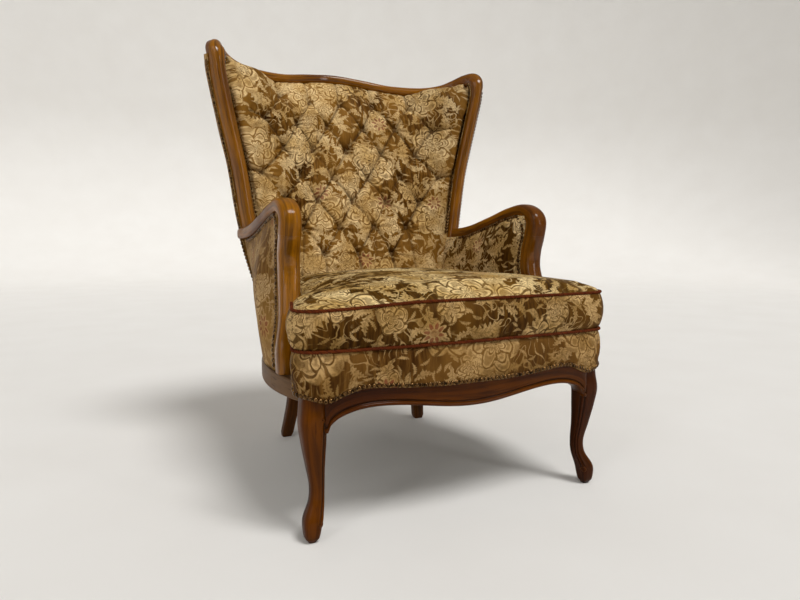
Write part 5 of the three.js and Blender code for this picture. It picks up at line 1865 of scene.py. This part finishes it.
def spaced(points, facings, pitch=NAIL_PITCH):
    """Evenly spaced places along a line of points."""
    points = np.asarray(points, float)
    along = lengths_along(points)
    marks = np.linspace(pitch / 2, along[-1] - pitch / 2, max(2, round(along[-1] / pitch)))
    ways = sampled(marks, along, np.asarray(facings, float))
    return [(spot, unit(way)) for spot, way in zip(sampled(marks, along, points), ways)]


def both_sides(seats):
    return seats + [(mirrored(spot), mirrored(way)) for spot, way in seats]


def wing_outside_nails():
    ahead = WRAP_DEPTH - 4.5
    rows = [wing_outside(z, ahead, wrap_proud(z)) for z in np.linspace(300, 962, 160)]
    return both_sides(spaced([p for p, _ in rows], [o for _, o in rows]))


def inside_arm_nails():
    """Along under the arm rail and down the rear of the post, on the inner face of the arm."""
    points = []
    for y in np.linspace(ARM_NAILS_REAR, ARM_NAILS_FRONT, 90):
        points.append((arm_rail_x(y) - ARM_HALF_WIDTH - NAIL_PROUD, y, arm_underside(y)))
    head_x = arm_rail_x(ARM_NAILS_FRONT) - ARM_HALF_WIDTH
    for z in np.linspace(POST_HEAD_Z + 4, 440, 90):
        x, _, half = arm_post_place(z)
        points.append((min(x - half, head_x) - NAIL_PROUD, post_back_y(z) - 2, z))
    return both_sides(spaced(points, [(-1, 0, 0)] * len(points)))


def outside_arm_nails():
    """Along under the arm rail and down the rear of the post, on the outer face of the arm."""
    places = []
    for y in np.linspace(ARM_NAILS_REAR, ARM_NAILS_FRONT, 90):
        places.append((y, arm_underside(y) - NAIL_FROM_EDGE))
    for z in np.linspace(POST_HEAD_Z + 4, 292, 90):
        places.append((float(outside_arm_front(z)) + NAIL_FROM_EDGE, z))
    points = [(float(outside_arm_x(y, z)) + NAIL_PROUD, y, z) for y, z in places]
    return both_sides(spaced(points, [(1, 0, 0)] * len(points)))


def border_nails():
    points, facings = [], []
    for t in np.linspace(0, 1, 420):
        edge, outwards = edge_frame(t)
        up = NAIL_RADIUS / (LOWER_WELT_Z - border_hem(edge))
        points.append(border_point(t, up, 0.3))
        facings.append(outwards)
    return spaced(points, facings, BORDER_NAIL_PITCH)


nail_dome = dome_template(NAIL_RADIUS, NAIL_RISE, 8, 3)
wing_inside_nails = both_sides(spaced(wing_hem, wing_hem_facing))
studs("wing_nails", wing_inside_nails + wing_outside_nails(), nail_dome, antique_brass)
studs("arm_nails", inside_arm_nails() + outside_arm_nails(), nail_dome, antique_brass)
studs("border_nails", border_nails(), nail_dome, antique_brass)
button_dome = dome_template(BUTTON_RADIUS, BUTTON_RISE, 16, 5)
buttons = studs("back_buttons", button_seats, button_dome, button_velvet)


# Floor, light and camera

def studio_sweep():
    """Pale floor that turns up into a low wall all round."""
    material, nodes, shader = new_material("pale_sweep", 0.8)
    shade = nodes.noise(object_coordinates(nodes), 3.0, 3.0)
    nodes.feed(shader.inputs["Base Color"], nodes.mix(shade, rgb(220, 217, 212), rgb(227, 225, 221)))
    bm = bmesh.new()
    bmesh.ops.create_circle(bm, cap_ends=True, segments=96, radius=9)
    rim = [edge for edge in bm.edges if edge.is_boundary]
    made = bmesh.ops.extrude_edge_only(bm, edges=rim)
    wall = [item for item in made["geom"] if isinstance(item, bmesh.types.BMVert)]
    bmesh.ops.translate(bm, vec=(0, 0, 6), verts=wall)
    bmesh.ops.bevel(bm, geom=rim, offset=2.5, segments=12, profile=0.5, affect="EDGES", material=-1)
    finish_mesh("studio_sweep", bm, material)


def add_lamp(lamp, towards):
    piece = bpy.data.objects.new(lamp.name, lamp)
    piece.rotation_euler = towards.to_track_quat("-Z", "Y").to_euler()
    bpy.context.scene.collection.objects.link(piece)
    return piece


def sun_lamp(name, source, spread, strength):
    """Broad even light from a direction, soft as a large window's."""
    lamp = bpy.data.lights.new(name, "SUN")
    lamp.angle = math.radians(spread)
    lamp.energy = strength
    add_lamp(lamp, -Vector(source))


def strip_lamp(name, location, wide, tall, watts):
    """A tall narrow window turned to the chair, for the long highlights on its polish."""
    lamp = bpy.data.lights.new(name, "AREA")
    lamp.shape = "RECTANGLE"
    lamp.size = wide
    lamp.size_y = tall
    lamp.energy = watts
    piece = add_lamp(lamp, Vector((-location[0], -location[1], 0)))
    piece.location = location


def studio_world():
    world = bpy.data.worlds.new("studio")
    bpy.context.scene.world = world
    world.use_nodes = True
    sky = world.node_tree.nodes["Background"]
    sky.inputs["Color"].default_value = (1.0, 0.98, 0.95, 1)
    sky.inputs["Strength"].default_value = 0.26


def camera():
    lens = bpy.data.cameras.new("photograph")
    lens.sensor_width = 36
    lens.lens = 27.54
    view = bpy.data.objects.new("photograph", lens)
    view.location = (-0.6165, -1.3713, 0.540)
    view.rotation_euler = (math.radians(90 - 5.88), 0, math.radians(-25.32))
    bpy.context.scene.collection.objects.link(view)
    bpy.context.scene.camera = view


studio_sweep()
sun_lamp("right_window", (0.35, -0.8, 1.5), spread=22, strength=2.1)
sun_lamp("left_window", (-0.9, -0.7, 0.8), spread=50, strength=0.8)
strip_lamp("right_strip", (2.57, -4.29, 2.1), wide=0.4, tall=3.2, watts=26)
strip_lamp("left_strip", (-4.2, -2.75, 2.1), wide=0.4, tall=3.2, watts=20)
studio_world()
camera()
bpy.context.scene.view_settings.view_transform = "Standard"
